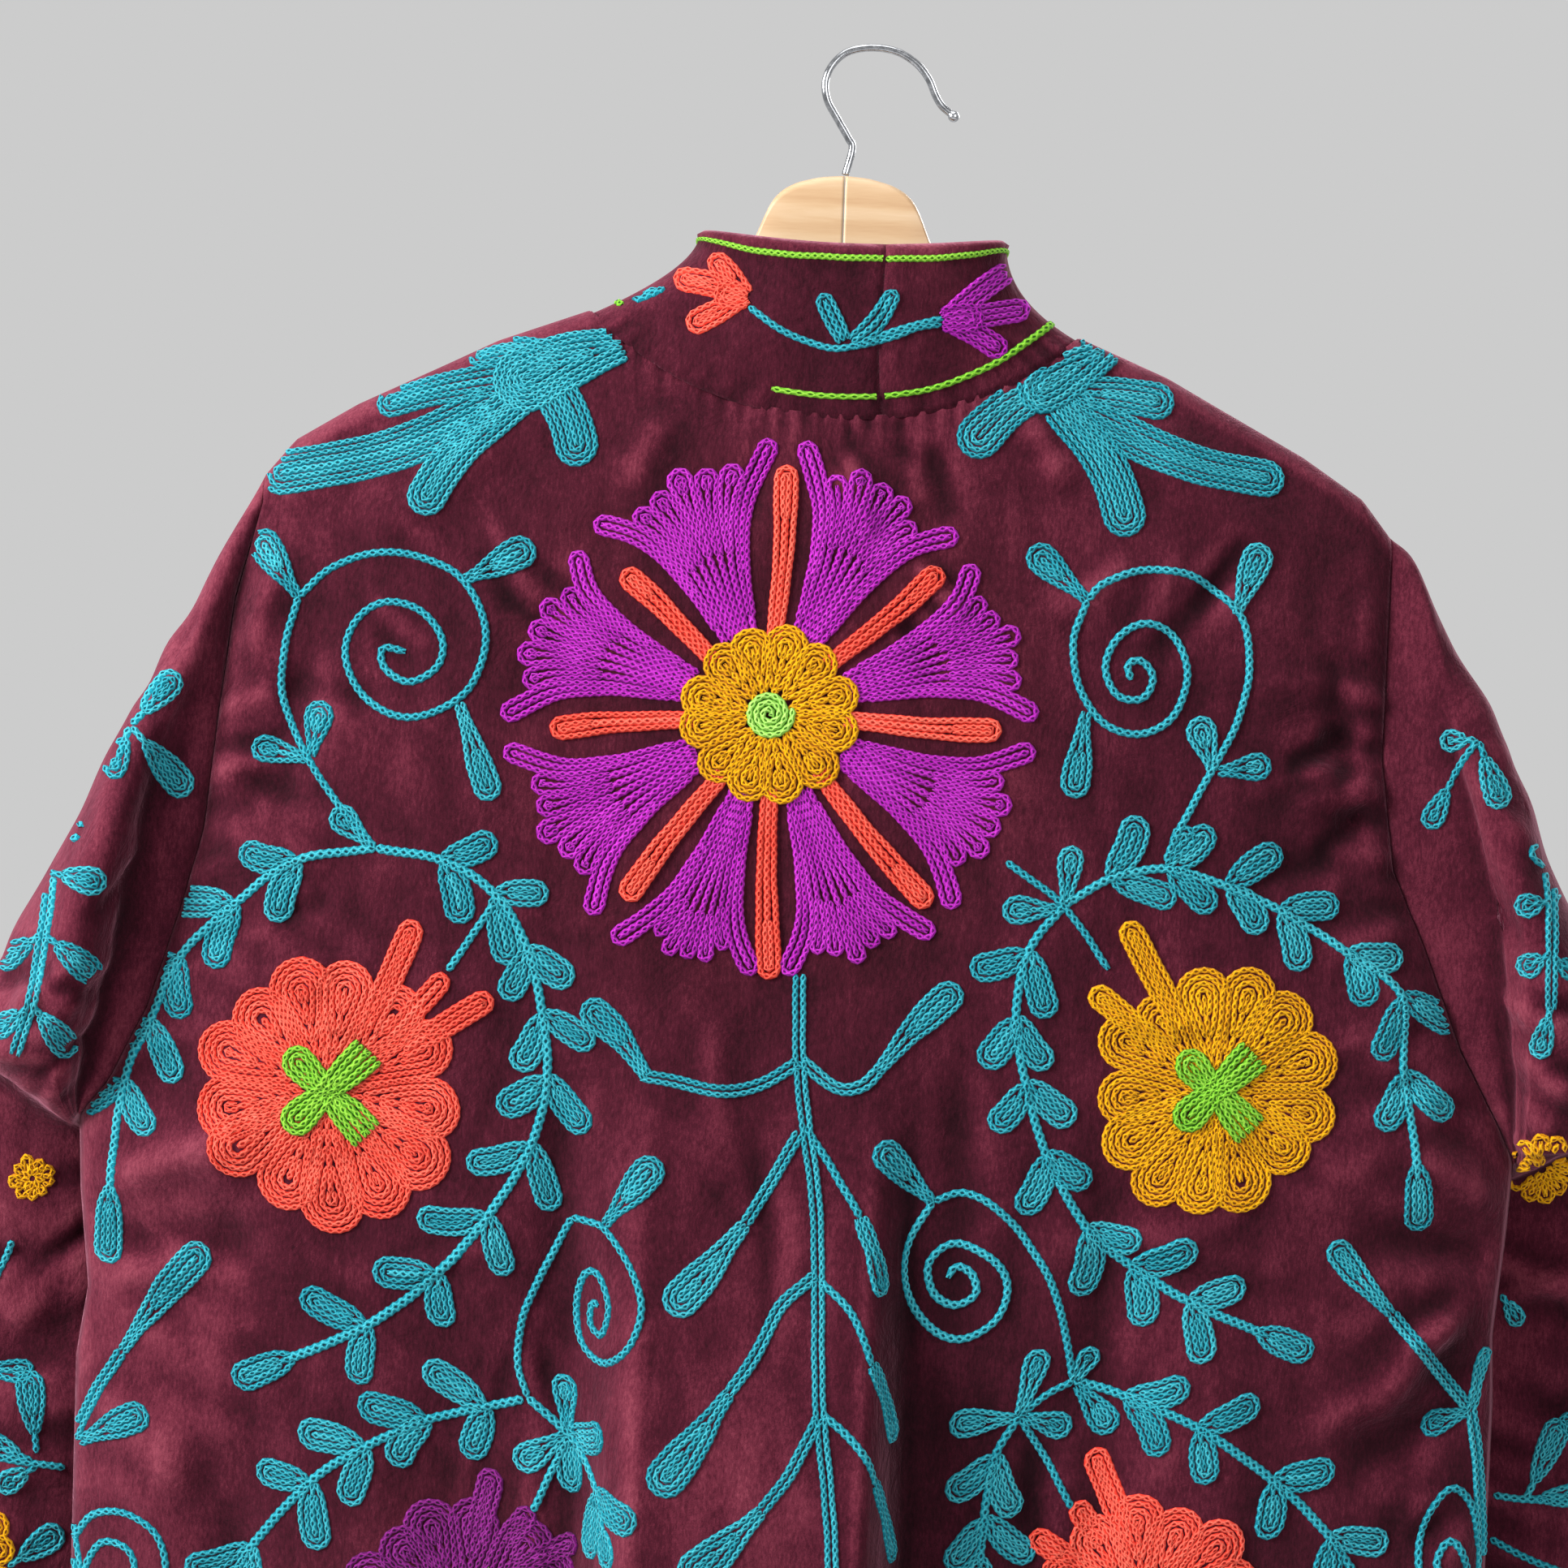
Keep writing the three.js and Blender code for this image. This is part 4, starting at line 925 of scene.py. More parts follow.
def thread_material(name, dark, mid, light):
    """chain stitch: u counts the links along a row, v runs across it"""
    m, nt, bs = nodes_of(name)
    w = Net(nt)
    uvn = w.n("UVMap", uv_map="UVMap")
    sep = w.n("SeparateXYZ")
    w.link(uvn.outputs[0], sep.inputs[0])
    u, v = sep.outputs[0], sep.outputs[1]
    p = w.math("SUBTRACT", w.math("FRACT", u), 0.5)            # -0.5..0.5 along a link
    q = w.math("ABSOLUTE", w.math("SUBTRACT", v, 0.5))         # 0..0.5 from the row's middle
    # the loop's two strands bow apart in the middle of a link
    bow = w.math("MULTIPLY", w.math("COSINE", w.math("MULTIPLY", w.math("ADD", p, 0.08), 5.6)), 0.15)
    strand_at = w.math("ADD", 0.13, w.math("MAXIMUM", bow, -0.06))
    dist = w.math("ABSOLUTE", w.math("SUBTRACT", q, strand_at))
    strand = w.math("SUBTRACT", 1.0, w.math("MULTIPLY", dist, 5.6), clamp=True)
    strand = w.math("SQRT", strand)
    # the hole in the middle of each loop, a dip in the bump and painted shade in the colour
    hole = w.math("ADD", w.math("POWER", w.math("DIVIDE", w.math("ADD", p, 0.06), 0.25), 2.0), w.math("POWER", w.math("DIVIDE", q, 0.11), 2.0))
    hole = w.math("SUBTRACT", 1.0, hole, clamp=True)
    # threads twist along the strand
    tw = w.math("SINE", w.math("ADD", w.math("MULTIPLY", u, 40.0), w.math("MULTIPLY", v, 34.0)))
    co = w.n("TexCoord").outputs["Object"]
    fuzz = w.noise(co, 1900.0, 3, 0.7)
    patch = w.noise(co, 60.0, 3, 0.6)
    at = w.n("Attribute", attribute_name="shade")
    # the colour paints a highlight along each strand and painted shade in each loop's hole; fibres, twist, rows and
    # patches vary at random
    tone = w.math("MULTIPLY_ADD", strand, 0.34, 0.26)
    tone = w.math("ADD", tone, w.math("MULTIPLY", w.math("SUBTRACT", fuzz, 0.5), 0.55))
    tone = w.math("ADD", tone, w.math("MULTIPLY", tw, 0.05))
    tone = w.math("ADD", tone, w.math("MULTIPLY", w.math("SUBTRACT", at.outputs["Fac"], 0.5), 0.16))
    tone = w.math("ADD", tone, w.math("MULTIPLY", w.math("SUBTRACT", patch, 0.5), 0.25))
    tone = w.math("SUBTRACT", tone, w.math("MULTIPLY", hole, 0.55))
    # painted shade towards the row's edges, where it meets the cloth
    edge = w.remap(q, 0.36, 0.5, 0.0, 0.30)
    tone = w.math("SUBTRACT", tone, edge, clamp=True)
    col = w.ramp(tone, [(0.0, dark), (0.36, mid), (0.74, light)])
    w.link(col, bs.inputs["Base Color"])
    bs.inputs["Roughness"].default_value = 0.82
    bs.inputs["Specular IOR Level"].default_value = 0.10
    bs.inputs["Sheen Weight"].default_value = 0.05
    bs.inputs["Sheen Roughness"].default_value = 0.5
    h = w.math("ADD", w.math("MULTIPLY", strand, 1.0), w.math("MULTIPLY", tw, 0.10))
    h = w.math("SUBTRACT", h, w.math("MULTIPLY", hole, 0.8))
    b1 = w.bump(h, 0.9, 0.0009)
    b2 = w.bump(fuzz, 0.45, 0.0005, b1)
    w.link(b2, bs.inputs["Normal"])
    return m

def wood_material():
    m, nt, bs = nodes_of("wood")
    w = Net(nt)
    co = w.n("TexCoord").outputs["Object"]
    mp = w.n("Mapping")
    mp.inputs["Scale"].default_value = (0.09, 1.0, 1.0)
    mp.inputs["Rotation"].default_value = (0.1, 0.28, 0.0)
    w.link(co, mp.inputs[0])
    grain = w.noise(mp.outputs[0], 150.0, 5, 0.6, 0.8)
    rings = w.n("TexWave", wave_type="BANDS", bands_direction="Z")
    rings.inputs["Scale"].default_value = 24.0
    rings.inputs["Distortion"].default_value = 7.0
    rings.inputs["Detail"].default_value = 3.0
    rings.inputs["Detail Scale"].default_value = 1.2
    w.link(mp.outputs[0], rings.inputs["Vector"])
    fibre = w.noise(mp.outputs[0], 900.0, 3, 0.6)
    v = w.math("ADD", w.math("MULTIPLY", grain, 0.55), w.math("ADD", w.math("MULTIPLY", rings.outputs["Fac"], 0.22), w.math("MULTIPLY", fibre, 0.23)))
    col = w.ramp(v, [(0.25, lin(176, 138, 98)), (0.48, lin(190, 156, 118)), (0.72, lin(200, 172, 138))])
    w.link(col, bs.inputs["Base Color"])
    bs.inputs["Roughness"].default_value = 0.48
    bs.inputs["Coat Weight"].default_value = 0.15
    bs.inputs["Coat Roughness"].default_value = 0.35
    w.link(w.bump(v, 0.18, 0.0004), bs.inputs["Normal"])
    return m

def chrome_material():
    m, nt, bs = nodes_of("chrome")
    w = Net(nt)
    co = w.n("TexCoord").outputs["Object"]
    s = w.noise(co, 380.0, 4, 0.6)
    r = w.remap(s, 0.3, 0.7, 0.10, 0.26)
    w.link(r, bs.inputs["Roughness"])
    col = w.ramp(s, [(0.3, lin(150, 152, 156)), (0.7, lin(198, 200, 204))])
    w.link(col, bs.inputs["Base Color"])
    bs.inputs["Metallic"].default_value = 1.0
    w.link(w.bump(s, 0.12, 0.0002), bs.inputs["Normal"])
    return m

def stage_material(name, c):
    m, nt, bs = nodes_of(name)
    w = Net(nt)
    s = w.noise(w.n("TexCoord").outputs["Object"], 2.0, 2, 0.5)
    col = w.ramp(s, [(0.2, lin(*[v - 2 for v in c])), (0.8, lin(*c))])
    w.link(col, bs.inputs["Base Color"])
    bs.inputs["Roughness"].default_value = 0.95
    return m

VELVET = velvet_material()
THREAD = {
    "teal": thread_material("thread_teal", lin(2, 60, 74), lin(8, 140, 160), lin(76, 194, 208)),
    "coral": thread_material("thread_coral", lin(170, 20, 14), lin(252, 74, 56), lin(255, 120, 100)),
    "purple": thread_material("thread_purple", lin(70, 2, 76), lin(166, 14, 166), lin(206, 56, 206)),
    "plum": thread_material("thread_plum", lin(44, 4, 42), lin(112, 12, 104), lin(152, 44, 146)),
    "mustard": thread_material("thread_mustard", lin(120, 64, 0), lin(228, 151, 0), lin(252, 191, 8)),
    "lime": thread_material("thread_lime", lin(40, 92, 8), lin(116, 194, 36), lin(168, 226, 80)),
    "lime_pale": thread_material("thread_lime_pale", lin(66, 124, 26), lin(156, 226, 88), lin(200, 248, 132)),
}

for node, ob in pieces.items():
    ob.data.materials.append(VELVET)
    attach(ob, "root")
    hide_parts(node)

# ------------------------------------------------------------------ embroidery of the back
BACK = Panel(1)
FRONT = Panel(-1)
def B(px, py):
    return BACK.from_px(px, py)[0]
def Bs(pts):
    a = np.array(pts, float)
    return BACK.from_px(a[:, 0], a[:, 1])
back = Stitch()

def px_leaf(S, colour, base, tip, wide_px, stalk_px=4, bend=0.0, layer=0, kind="club"):
    S.leaf(colour, B(*base), B(*tip), wide_px * PX, stalk_px * PX, bend, layer, kind)

# the great flower
C0 = B(948, 880)
def polar(c, a_deg, r_mm):
    """angle measured clockwise from up as seen from behind"""
    a = math.radians(a_deg)
    return np.asarray(c) + np.array([-math.sin(a), -math.cos(a)]) * r_mm
ray_angles = [2, 48, 92, 138, 178, 216, 264, 312]
ray_len = [102, 92, 95, 102, 108, 96, 90, 84]
fan_angles = [(-40, 1), (24, 16), (60, 80), (0, 0)]
for k in range(8):
    a0 = ray_angles[k]
    a1 = ray_angles[(k + 1) % 8] + (360 if k == 7 else 0)
    am = (a0 + a1) / 2
    half = (a1 - a0) / 2 - 3.0
    # five round lobes between two horns that flare out along the neighbouring rays
    reach = [33, 50, 68, 88]
    share = [0.62, 0.61, 0.66, 0.80, 1.0]
    horn = [1.8, 2.4, 3.2, 4.2, 4.4]
    skew = ((k * 5) % 3 - 1) * 2.0
    for j in range(5):
        f = (j - 2) / 2
        rr = 106.5 - 6.0 * abs(f) ** 1.6 + skew * f + (1.5 if (j + k) % 2 else -0.8)
        spine, prof = [], []
        for r, sh, hn in zip(reach + [rr], share, horn):
            inner = max(2.0, r * math.radians(half * sh) - 2 * hn) / 5
            spine.append(polar(C0, am + math.degrees(f * inner * 4 / r), r))
            prof.append(inner * 1.04)
        back.fill("purple", spine, prof, layer=0)
    for sd in (-1, 1):
        rr = (109 if k not in (1, 6) else 106) + sd * skew * 1.5
        spine, prof = [], []
        for r, sh, hn in zip(reach + [rr], share, horn):
            edge_a = math.degrees((r * math.radians(half * sh) - hn) / r)
            spine.append(polar(C0, am + sd * (edge_a + (2.0 if r == rr else 0)), r))
            prof.append(hn * 1.06)
        back.fill("purple", spine, prof, layer=0)
for k in range(8):
    a = ray_angles[k]
    back.fill("coral", [polar(C0, a, 30), polar(C0, a + 1, 66), polar(C0, a, ray_len[k])], [3.6, 3.9, 4.3, 5.0, 5.2], layer=1)
back.daisy("mustard", C0, 39.0, 12, inner=0.2, a0=0.26, layer=2, wob=0.03)
back.disc("lime_pale", C0, 10.6, layer=3.6)

def flower(S, colour, c, R, petals, a0, fingers=(), cross=True, layer=0, seed=3, skip=()):
    S.daisy(colour, c, R, petals, inner=0.12, a0=a0, layer=layer, seed=seed, skip=skip)
    for f in fingers:
        b, tip, w = f
        S.leaf(colour, b, tip, w, w * 0.85, 0.0, layer + 0.4, "finger")
    if cross:
        for sx, sy in ((1, 1), (1, -1)):
            d = np.array([sx, sy], float) / math.sqrt(2) * R * 0.43
            S.fill("lime", [np.asarray(c) - d, np.asarray(c), np.asarray(c) + d], [7.6, 6.8, 4.6, 6.8, 7.6], layer=layer + 2.0 + 0.5 * (sy > 0))
cc = B(402, 1345)
flower(back, "coral", cc, 56, 13, 0.15, [(polar(cc, 33, 30), B(513, 1132), 5.6), (polar(cc, 48, 34), B(552, 1200), 4.6), (polar(cc, 60, 36), B(610, 1226), 5.2)], seed=4)
cm = B(1497, 1345)
flower(back, "mustard", cm, 51, 13, 0.05, [(polar(cm, -30, 28), B(1386, 1134), 5.6), (polar(cm, -52, 34), B(1342, 1218), 5.4)], seed=9)
cp = B(572, 1990)
flower(back, "plum", cp, 50, 13, 0.2, [(polar(cp, 8, 30), B(608, 1808), 5.6), (polar(cp, 28, 34), B(657, 1858), 5.0), (polar(cp, 48, 36), B(712, 1898), 5.0)], seed=12)
cr = B(1412, 1992)
flower(back, "coral", cr, 50, 13, 0.1, [(polar(cr, -15, 28), B(1345, 1782), 5.4), (polar(cr, -36, 34), B(1322, 1848), 5.0), (polar(cr, -56, 36), B(1268, 1890), 5.2)], seed=15)

# shoulder sprays: a fat trunk with finger lobes
def spray(trunk, lobes, trunk_w):
    back.fill("teal", [B(*p) for p in trunk], [w * PX for w in trunk_w], layer=0.6)
    for base, mid, tip, w0, w1 in lobes:
        back.fill("teal", [B(*base), B(*mid), B(*tip)], [w0 * PX, w0 * PX, (w0 + w1) / 2 * PX, w1 * PX, w1 * PX], layer=0)
spray([(768, 424), (700, 445), (610, 485)], [
    ((690, 440), (630, 430), (574, 444), 18, 15), ((660, 462), (560, 476), (462, 502), 22, 19), ((610, 500), (480, 556), (322, 590), 28, 28),
    ((640, 490), (560, 560), (512, 634), 24, 25), ((676, 470), (703, 520), (716, 578), 27, 27)], [22, 34, 42, 40])
spray([(1366, 432), (1310, 462), (1262, 496)], [
    ((1300, 470), (1240, 505), (1186, 560), 24, 28), ((1318, 483), (1388, 488), (1450, 500), 22, 24), ((1318, 503), (1462, 568), (1586, 594), 26, 24),
    ((1306, 500), (1364, 575), (1394, 664), 26, 27)], [20, 30, 34, 26])
px_leaf(back, "teal", (800, 432), (900, 482), 12, 7, 0.1)
px_leaf(back, "teal", (1046, 484), (1046, 512), 15, 14, 0.0)

# spirals with leaves
def coil(points, leaves, w=3.9, S=None):
    (S or back).row("teal", curve(Bs(points)), w, 0, 1.3)
    for base, tip, wd in leaves:
        px_leaf(S or back, "teal", base, tip, wd, 7, 0.0, 0, "club")
coil([(368, 735), (411, 698), (474, 680), (537, 693), (574, 719), (598, 772), (589, 829), (560, 864), (505, 884), (453, 863), (426, 814), (437, 766), (474, 742), (516, 751), (545, 787), (539, 821), (505, 840), (474, 824), (472, 798), (500, 803)],
     [((368, 735), (314, 652), 19), ((570, 716), (662, 670), 19), ((566, 866), (607, 990), 16)])
coil([(368, 735), (353, 787), (347, 845), (360, 893), (389, 951), (426, 1003), (463, 1045)], [((384, 932), (397, 858), 18), ((380, 935), (306, 917), 16), ((455, 1040), (408, 995), 17)])
coil([(1339, 740), (1360, 719), (1407, 703), (1465, 708), (1513, 740), (1534, 772), (1539, 829), (1523, 893), (1492, 951), (1455, 1019), (1436, 1061)],
     [((1339, 740), (1266, 672), 18), ((1523, 758), (1557, 668), 18), ((1494, 951), (1474, 878), 18), ((1500, 951), (1570, 942), 16), ((1440, 1060), (1470, 1015), 16)])
coil([(1339, 740), (1323, 787), (1328, 840), (1355, 887), (1402, 905), (1444, 884), (1463, 835), (1449, 787), (1413, 768), (1376, 787), (1362, 824), (1376, 856), (1407, 861), (1421, 835), (1407, 814), (1389, 819), (1394, 838)],
     [((1338, 877), (1322, 986), 17)])
coil([(705, 1500), (725, 1505), (745, 1515), (775, 1560), (790, 1610), (775, 1660), (745, 1680), (720, 1660), (710, 1615), (720, 1570), (738, 1572), (750, 1610), (742, 1645), (728, 1632), (730, 1605), (738, 1610)], [((745, 1510), (815, 1426), 19)])
coil([(705, 1500), (675, 1555), (645, 1620), (638, 1680), (650, 1722)], [])
coil([(1150, 1480), (1120, 1530), (1115, 1580), (1140, 1630), (1180, 1650), (1225, 1630), (1242, 1585), (1220, 1550), (1175, 1532), (1145, 1555), (1148, 1590), (1175, 1608), (1202, 1595), (1198, 1570), (1178, 1560), (1168, 1575)], [((1150, 1482), (1077, 1408), 18)])
coil([(1150, 1480), (1190, 1470), (1240, 1500), (1290, 1570), (1310, 1630), (1322, 1700)], [])

# leafed boughs, each from its junction outwards
def bough(pts, seed, **kw):
    back.boughs("teal", list(Bs(pts)), seed=seed, **kw)
bough([(463, 1045), (363, 1061), (289, 1114), (221, 1180), (184, 1261), (153, 1335), (134, 1530)], 5)
bough([(463, 1045), (547, 1061), (611, 1103), (650, 1170), (668, 1250), (674, 1330), (653, 1414), (600, 1500), (537, 1570), (450, 1634), (306, 1694)], 6)
bough([(1310, 1116), (1370, 1082), (1439, 1071), (1513, 1093), (1581, 1124), (1665, 1177), (1728, 1229), (1730, 1325), (1748, 1495)], 7)
bough([(1310, 1116), (1266, 1175), (1252, 1255), (1264, 1335), (1290, 1425), (1340, 1515), (1395, 1560), (1468, 1605), (1600, 1662)], 8)
back.line("teal", Bs([(1240, 1062), (1310, 1116), (1366, 1194)]), 1, 3.8)
px_leaf(back, "teal", (1312, 1116), (1322, 1040), 15, 7); px_leaf(back, "teal", (1304, 1120), (1232, 1122), 17, 7)
back.line("teal", Bs([(611, 1110), (580, 1155), (552, 1196)]), 1, 3.8)
bough([(645, 1724), (600, 1733), (525, 1750), (448, 1784), (382, 1826), (310, 1905), (270, 1975)], 9)
bough([(650, 1722), (700, 1768), (735, 1840), (748, 1925)], 10)
px_leaf(back, "teal", (700, 1766), (694, 1692), 15, 7); px_leaf(back, "teal", (698, 1768), (632, 1806), 17, 7)
back.line("teal", Bs([(700, 1770), (676, 1820), (656, 1862)]), 1, 3.8)
bough([(1322, 1700), (1390, 1722), (1480, 1762), (1570, 1826), (1640, 1896), (1700, 1990)], 11)
px_leaf(back, "teal", (1322, 1704), (1352, 1655), 15, 7); px_leaf(back, "teal", (1326, 1706), (1374, 1766), 17, 7)
back.line("teal", Bs([(1322, 1702), (1290, 1718), (1256, 1745)]), 1, 4.0)
bough([(1256, 1745), (1226, 1795), (1212, 1875), (1206, 1960)], 12)
px_leaf(back, "teal", (1256, 1745), (1284, 1660), 15, 7); px_leaf(back, "teal", (1252, 1747), (1166, 1756), 17, 7); px_leaf(back, "teal", (1260, 1745), (1324, 1762), 16, 7)
back.line("teal", Bs([(1256, 1747), (1290, 1800), (1320, 1858)]), 1, 3.8)

# middle stem with its long club leaves
back.line("teal", Bs([(985, 1200), (985, 1300), (992, 1380), (1005, 1480), (1008, 1580), (1008, 1660), (1010, 1740), (1018, 1820), (1024, 1900), (1026, 1990)]), 2, gap=3.1)
back.line("teal", Bs([(985, 1308), (940, 1335), (890, 1345), (835, 1333), (790, 1325)]), 2, gap=2.9)
back.line("teal", Bs([(985, 1305), (1030, 1340), (1062, 1338), (1084, 1318)]), 2, gap=2.9)
px_leaf(back, "teal", (798, 1328), (718, 1234), 18, 8, -0.05)
px_leaf(back, "teal", (1080, 1322), (1184, 1214), 18, 8, 0.03)
for path, tip, wd in (([(985, 1395), (945, 1465), (918, 1508)], (820, 1620), 21), ([(1005, 1572), (962, 1610), (932, 1668), (898, 1717)], (802, 1842), 22), ([(1010, 1745), (972, 1818), (938, 1862)], (838, 1952), 22),
                      ([(992, 1388), (1030, 1448), (1060, 1500)], (1088, 1602), 13), ([(1010, 1578), (1050, 1620), (1074, 1682)], (1102, 1778), 13), ([(1012, 1742), (1054, 1780), (1078, 1828)], (1101, 1926), 13)):
    back.line("teal", Bs(path), 2 if wd > 15 else 1, 4.0, gap=2.7)
    px_leaf(back, "teal", path[-1], tip, wd, 9, 0.02)

# sprigs up the side seams
def side_sprig(stem, clubs, coil_pts):
    back.line("teal", Bs(stem), 2, gap=2.7)
    for base, tip, wd in clubs:
        px_leaf(back, "teal", base, tip, wd, 7, 0.02)
    back.row("teal", curve(Bs(coil_pts)), 3.9, 0, 1.3)
side_sprig([(90, 1680), (82, 1730), (92, 1775), (88, 1850), (96, 1932), (104, 1985)], [((150, 1665), (256, 1534), 18), ((98, 1776), (185, 1738), 17), ((88, 1770), (92, 1662), 9)],
           [(90, 1895), (115, 1866), (152, 1864), (190, 1888), (204, 1932), (186, 1978), (146, 1990), (112, 1968), (106, 1930), (126, 1900), (156, 1908), (166, 1936), (148, 1956), (134, 1940)])
back.line("teal", Bs([(92, 1770), (118, 1715), (150, 1665)]), 2, gap=2.7)
side_sprig([(1812, 1736), (1820, 1800), (1824, 1870), (1824, 1930), (1820, 1985)], [((1716, 1620), (1640, 1530), 15), ((1812, 1740), (1832, 1656), 9), ((1810, 1738), (1746, 1758), 16)],
           [(1822, 1905), (1812, 1852), (1788, 1834), (1762, 1862), (1748, 1920), (1760, 1972), (1790, 1984), (1808, 1950), (1800, 1910), (1784, 1900), (1770, 1925), (1780, 1950)])
back.line("teal", Bs([(1716, 1620), (1762, 1676), (1810, 1735)]), 2, gap=2.7)

# past the photograph's lower edge the pattern closes in the same way
def st(x, z):
    return np.array([float(BACK.s_of(x, z)[0]), -z])
def low_part():
    foot = B(1026, 1990)
    back.line("teal", [foot - (0, 4), foot + (1, 30), mix(foot, st(18, -720), 0.6), st(18, -730), st(18, -775), st(18, -814)], 2, gap=3.0)
    for sd in (1, -1):
        back.line("teal", [st(18, -715), st(18 + sd * 26, -748), st(18 + sd * 40, -785)], 1, 3.7)
        back.leaf("teal", st(18 + sd * 40, -785), st(18 + sd * 54, -832), 6, 2, 0.0)
    flower(back, "mustard", st(18, -858), 38, 12, 0.1, (), seed=31)
    for sd in (1, -1):
        back.garland("teal", [st(sd * 262, -700), st(sd * 250, -780), st(sd * 215, -850), st(sd * 165, -878), st(sd * 110, -862), st(sd * 84, -820)], 21, 19, 5, seed=33 + sd)
        back.line("teal", [st(sd * 170, -735), st(sd * 178, -800), st(sd * 182, -838)], 1, 3.8)
        back.spiral("teal", st(sd * 224, -690), 3, 22, 0.6 + sd, 1.7)
        back.leaf("teal", st(sd * 206, -704), st(sd * 188, -728), 5.0, 2)
        back.spiral("teal", st(sd * 122, -778), 3, 21, 2.2 + sd, 1.7)
        back.leaf("teal", st(sd * 122, -757), st(sd * 128, -728), 5.0, 2)
        back.leaf("teal", st(sd * 172, -770), st(sd * 208, -752), 5.2, 2)
        back.leaf("teal", st(sd * 176, -790), st(sd * 146, -772), 5.2, 2)
low_part()

# ------------------------------------------------------------------ embroidery of the fronts
def front_side(sd, first, second, seed):
    S = Stitch()
    def f(x, z):
        return np.array([float(FRONT.s_of(sd * x, z)[0]), -z])
    # shoulder spray
    for tip, w in (((88, -178), 6.5), ((128, -196), 6.5), ((170, -214), 7.0), ((196, -186), 6.5)):
        S.fill("teal", [f(112, -138), f((112 + tip[0]) / 2 + 6, (-138 + tip[1]) / 2), f(*tip)], [6, 6, w, w, w])
    # ring with leaves
    S.spiral("teal", f(150, -268), 3, 34, 0.5 + sd, 2.0)
    S.leaf("teal", f(182, -252), f(206, -226), 5.2, 2); S.leaf("teal", f(122, -250), f(98, -228), 5.2, 2); S.leaf("teal", f(160, -300), f(176, -334), 5.2, 2)
    flower(S, first, f(132, -410), 50, 13, 0.2, [(f(120, -380), f(112, -334), 4.6), (f(112, -384), f(86, -352), 4.4)], seed=seed)
    S.garland("teal", [f(236, -500), f(232, -430), f(214, -366), f(176, -330), f(120, -322), f(72, -346), f(58, -400), f(62, -460), f(92, -505), f(150, -530)], 21, 19.5, 5, seed=seed + 1)
    S.line("teal", [f(32, -250), f(28, -330), f(34, -420), f(28, -520), f(36, -620), f(30, -720), f(34, -800)], 2, gap=2.8)
    for k, z in enumerate((-285, -370, -455, -565, -660, -745)):
        S.leaf("teal", f(32, z), f(32 + (26 if k % 2 else 24), z + 34), 5.6, 2, 0.05)
        S.leaf("teal", f(30, z - 24), f(12, z + 10), 4.4, 1.6, 0.0)
    S.spiral("teal", f(96, -585), 3, 32, 2.0 + sd, 2.0)
    S.leaf("teal", f(96, -553), f(74, -528), 5.2, 2); S.leaf("teal", f(126, -600), f(152, -622), 5.2, 2)
    flower(S, second, f(176, -700), 48, 13, 0.4, [(f(168, -672), f(158, -628), 4.6), (f(150, -676), f(128, -642), 4.4)], seed=seed + 2)
    S.garland("teal", [f(262, -590), f(256, -660), f(248, -740), f(214, -800), f(160, -818), f(104, -796), f(86, -740), f(96, -680)], 21, 19.5, 5, seed=seed + 3)
    S.spiral("teal", f(256, -560), 3, 20, 0.3, 1.6)
    S.line("teal", [f(9.5, -214), f(9.5, -330), f(9.5, -500), f(9.5, -700), f(9.5, -910)][:1] + [f(9.5, -300), f(9.5, -500), f(9.5, -700), f(9.5, -908)], 1, 3.4)
    S.rows.setdefault("lime", []).extend(S.rows["teal"][-1:]); S.rows["teal"].pop()
    return S
front_l = front_side(1, "purple", "coral", 41)
front_r = front_side(-1, "mustard", "purple", 61)

# ------------------------------------------------------------------ embroidery of the collar (drawn as seen from behind)
COLLAR_CAM = Cast([(P_cl, 1), (P_cr, -1)], (0, 0, 0), (1, 0, 0), (0, 0, 1), (0, -1, 0), False, perspective=True, px=PX)
collar_b = Stitch()
def Q(x, y):
    return np.array([x, y], float) * PX
def Qs(p):
    return np.array(p, float) * PX
for mid, tip, wd in (((896, 336), (874, 312), 5.2), ((876, 350), (828, 342), 5.4), ((884, 384), (844, 404), 5.4)):
    collar_b.fill("coral", [Q(920, 364), Q(*mid), Q(*tip)], [4.0, 4.6, wd, wd, wd])
collar_b.fill("coral", [Q(922, 366), Q(900, 364), Q(876, 366)], [5.0, 6.0, 6.4, 6.0], layer=0.6)
collar_b.line("teal", Qs([(923, 378), (962, 406), (1018, 428), (1062, 424), (1101, 408), (1162, 392)]), 1, 3.8)
collar_b.line("teal", Qs([(1050, 428), (1101, 416), (1130, 404), (1160, 400)]), 1, 3.2)
collar_b.fill("teal", [Q(1040, 420), Q(1026, 392), Q(1010, 358)], [3.4, 4.2, 4.3, 4.0]); collar_b.fill("teal", [Q(1050, 422), Q(1080, 396), Q(1104, 356)], [3.6, 4.4, 4.3, 3.8])
for mid, tip, wd in (((1206, 360), (1250, 328), 5.0), ((1218, 388), (1272, 380), 5.2), ((1206, 414), (1242, 438), 5.2)):
    collar_b.fill("purple", [Q(1164, 394), Q(*mid), Q(*tip)], [4.0, 5.0, wd, wd, wd])
collar_b.fill("purple", [Q(1160, 394), Q(1190, 392), Q(1214, 392)], [5.0, 6.4, 6.6, 6.0], layer=0.6)
collar_b.fill("teal", [Q(1268, 356), Q(1290, 380), Q(1302, 410)], [2.6, 3.2, 3.2, 2.8]); collar_b.fill("teal", [Q(818, 352), Q(800, 360), Q(776, 370)], [2.4, 2.8, 2.6, 2.2])

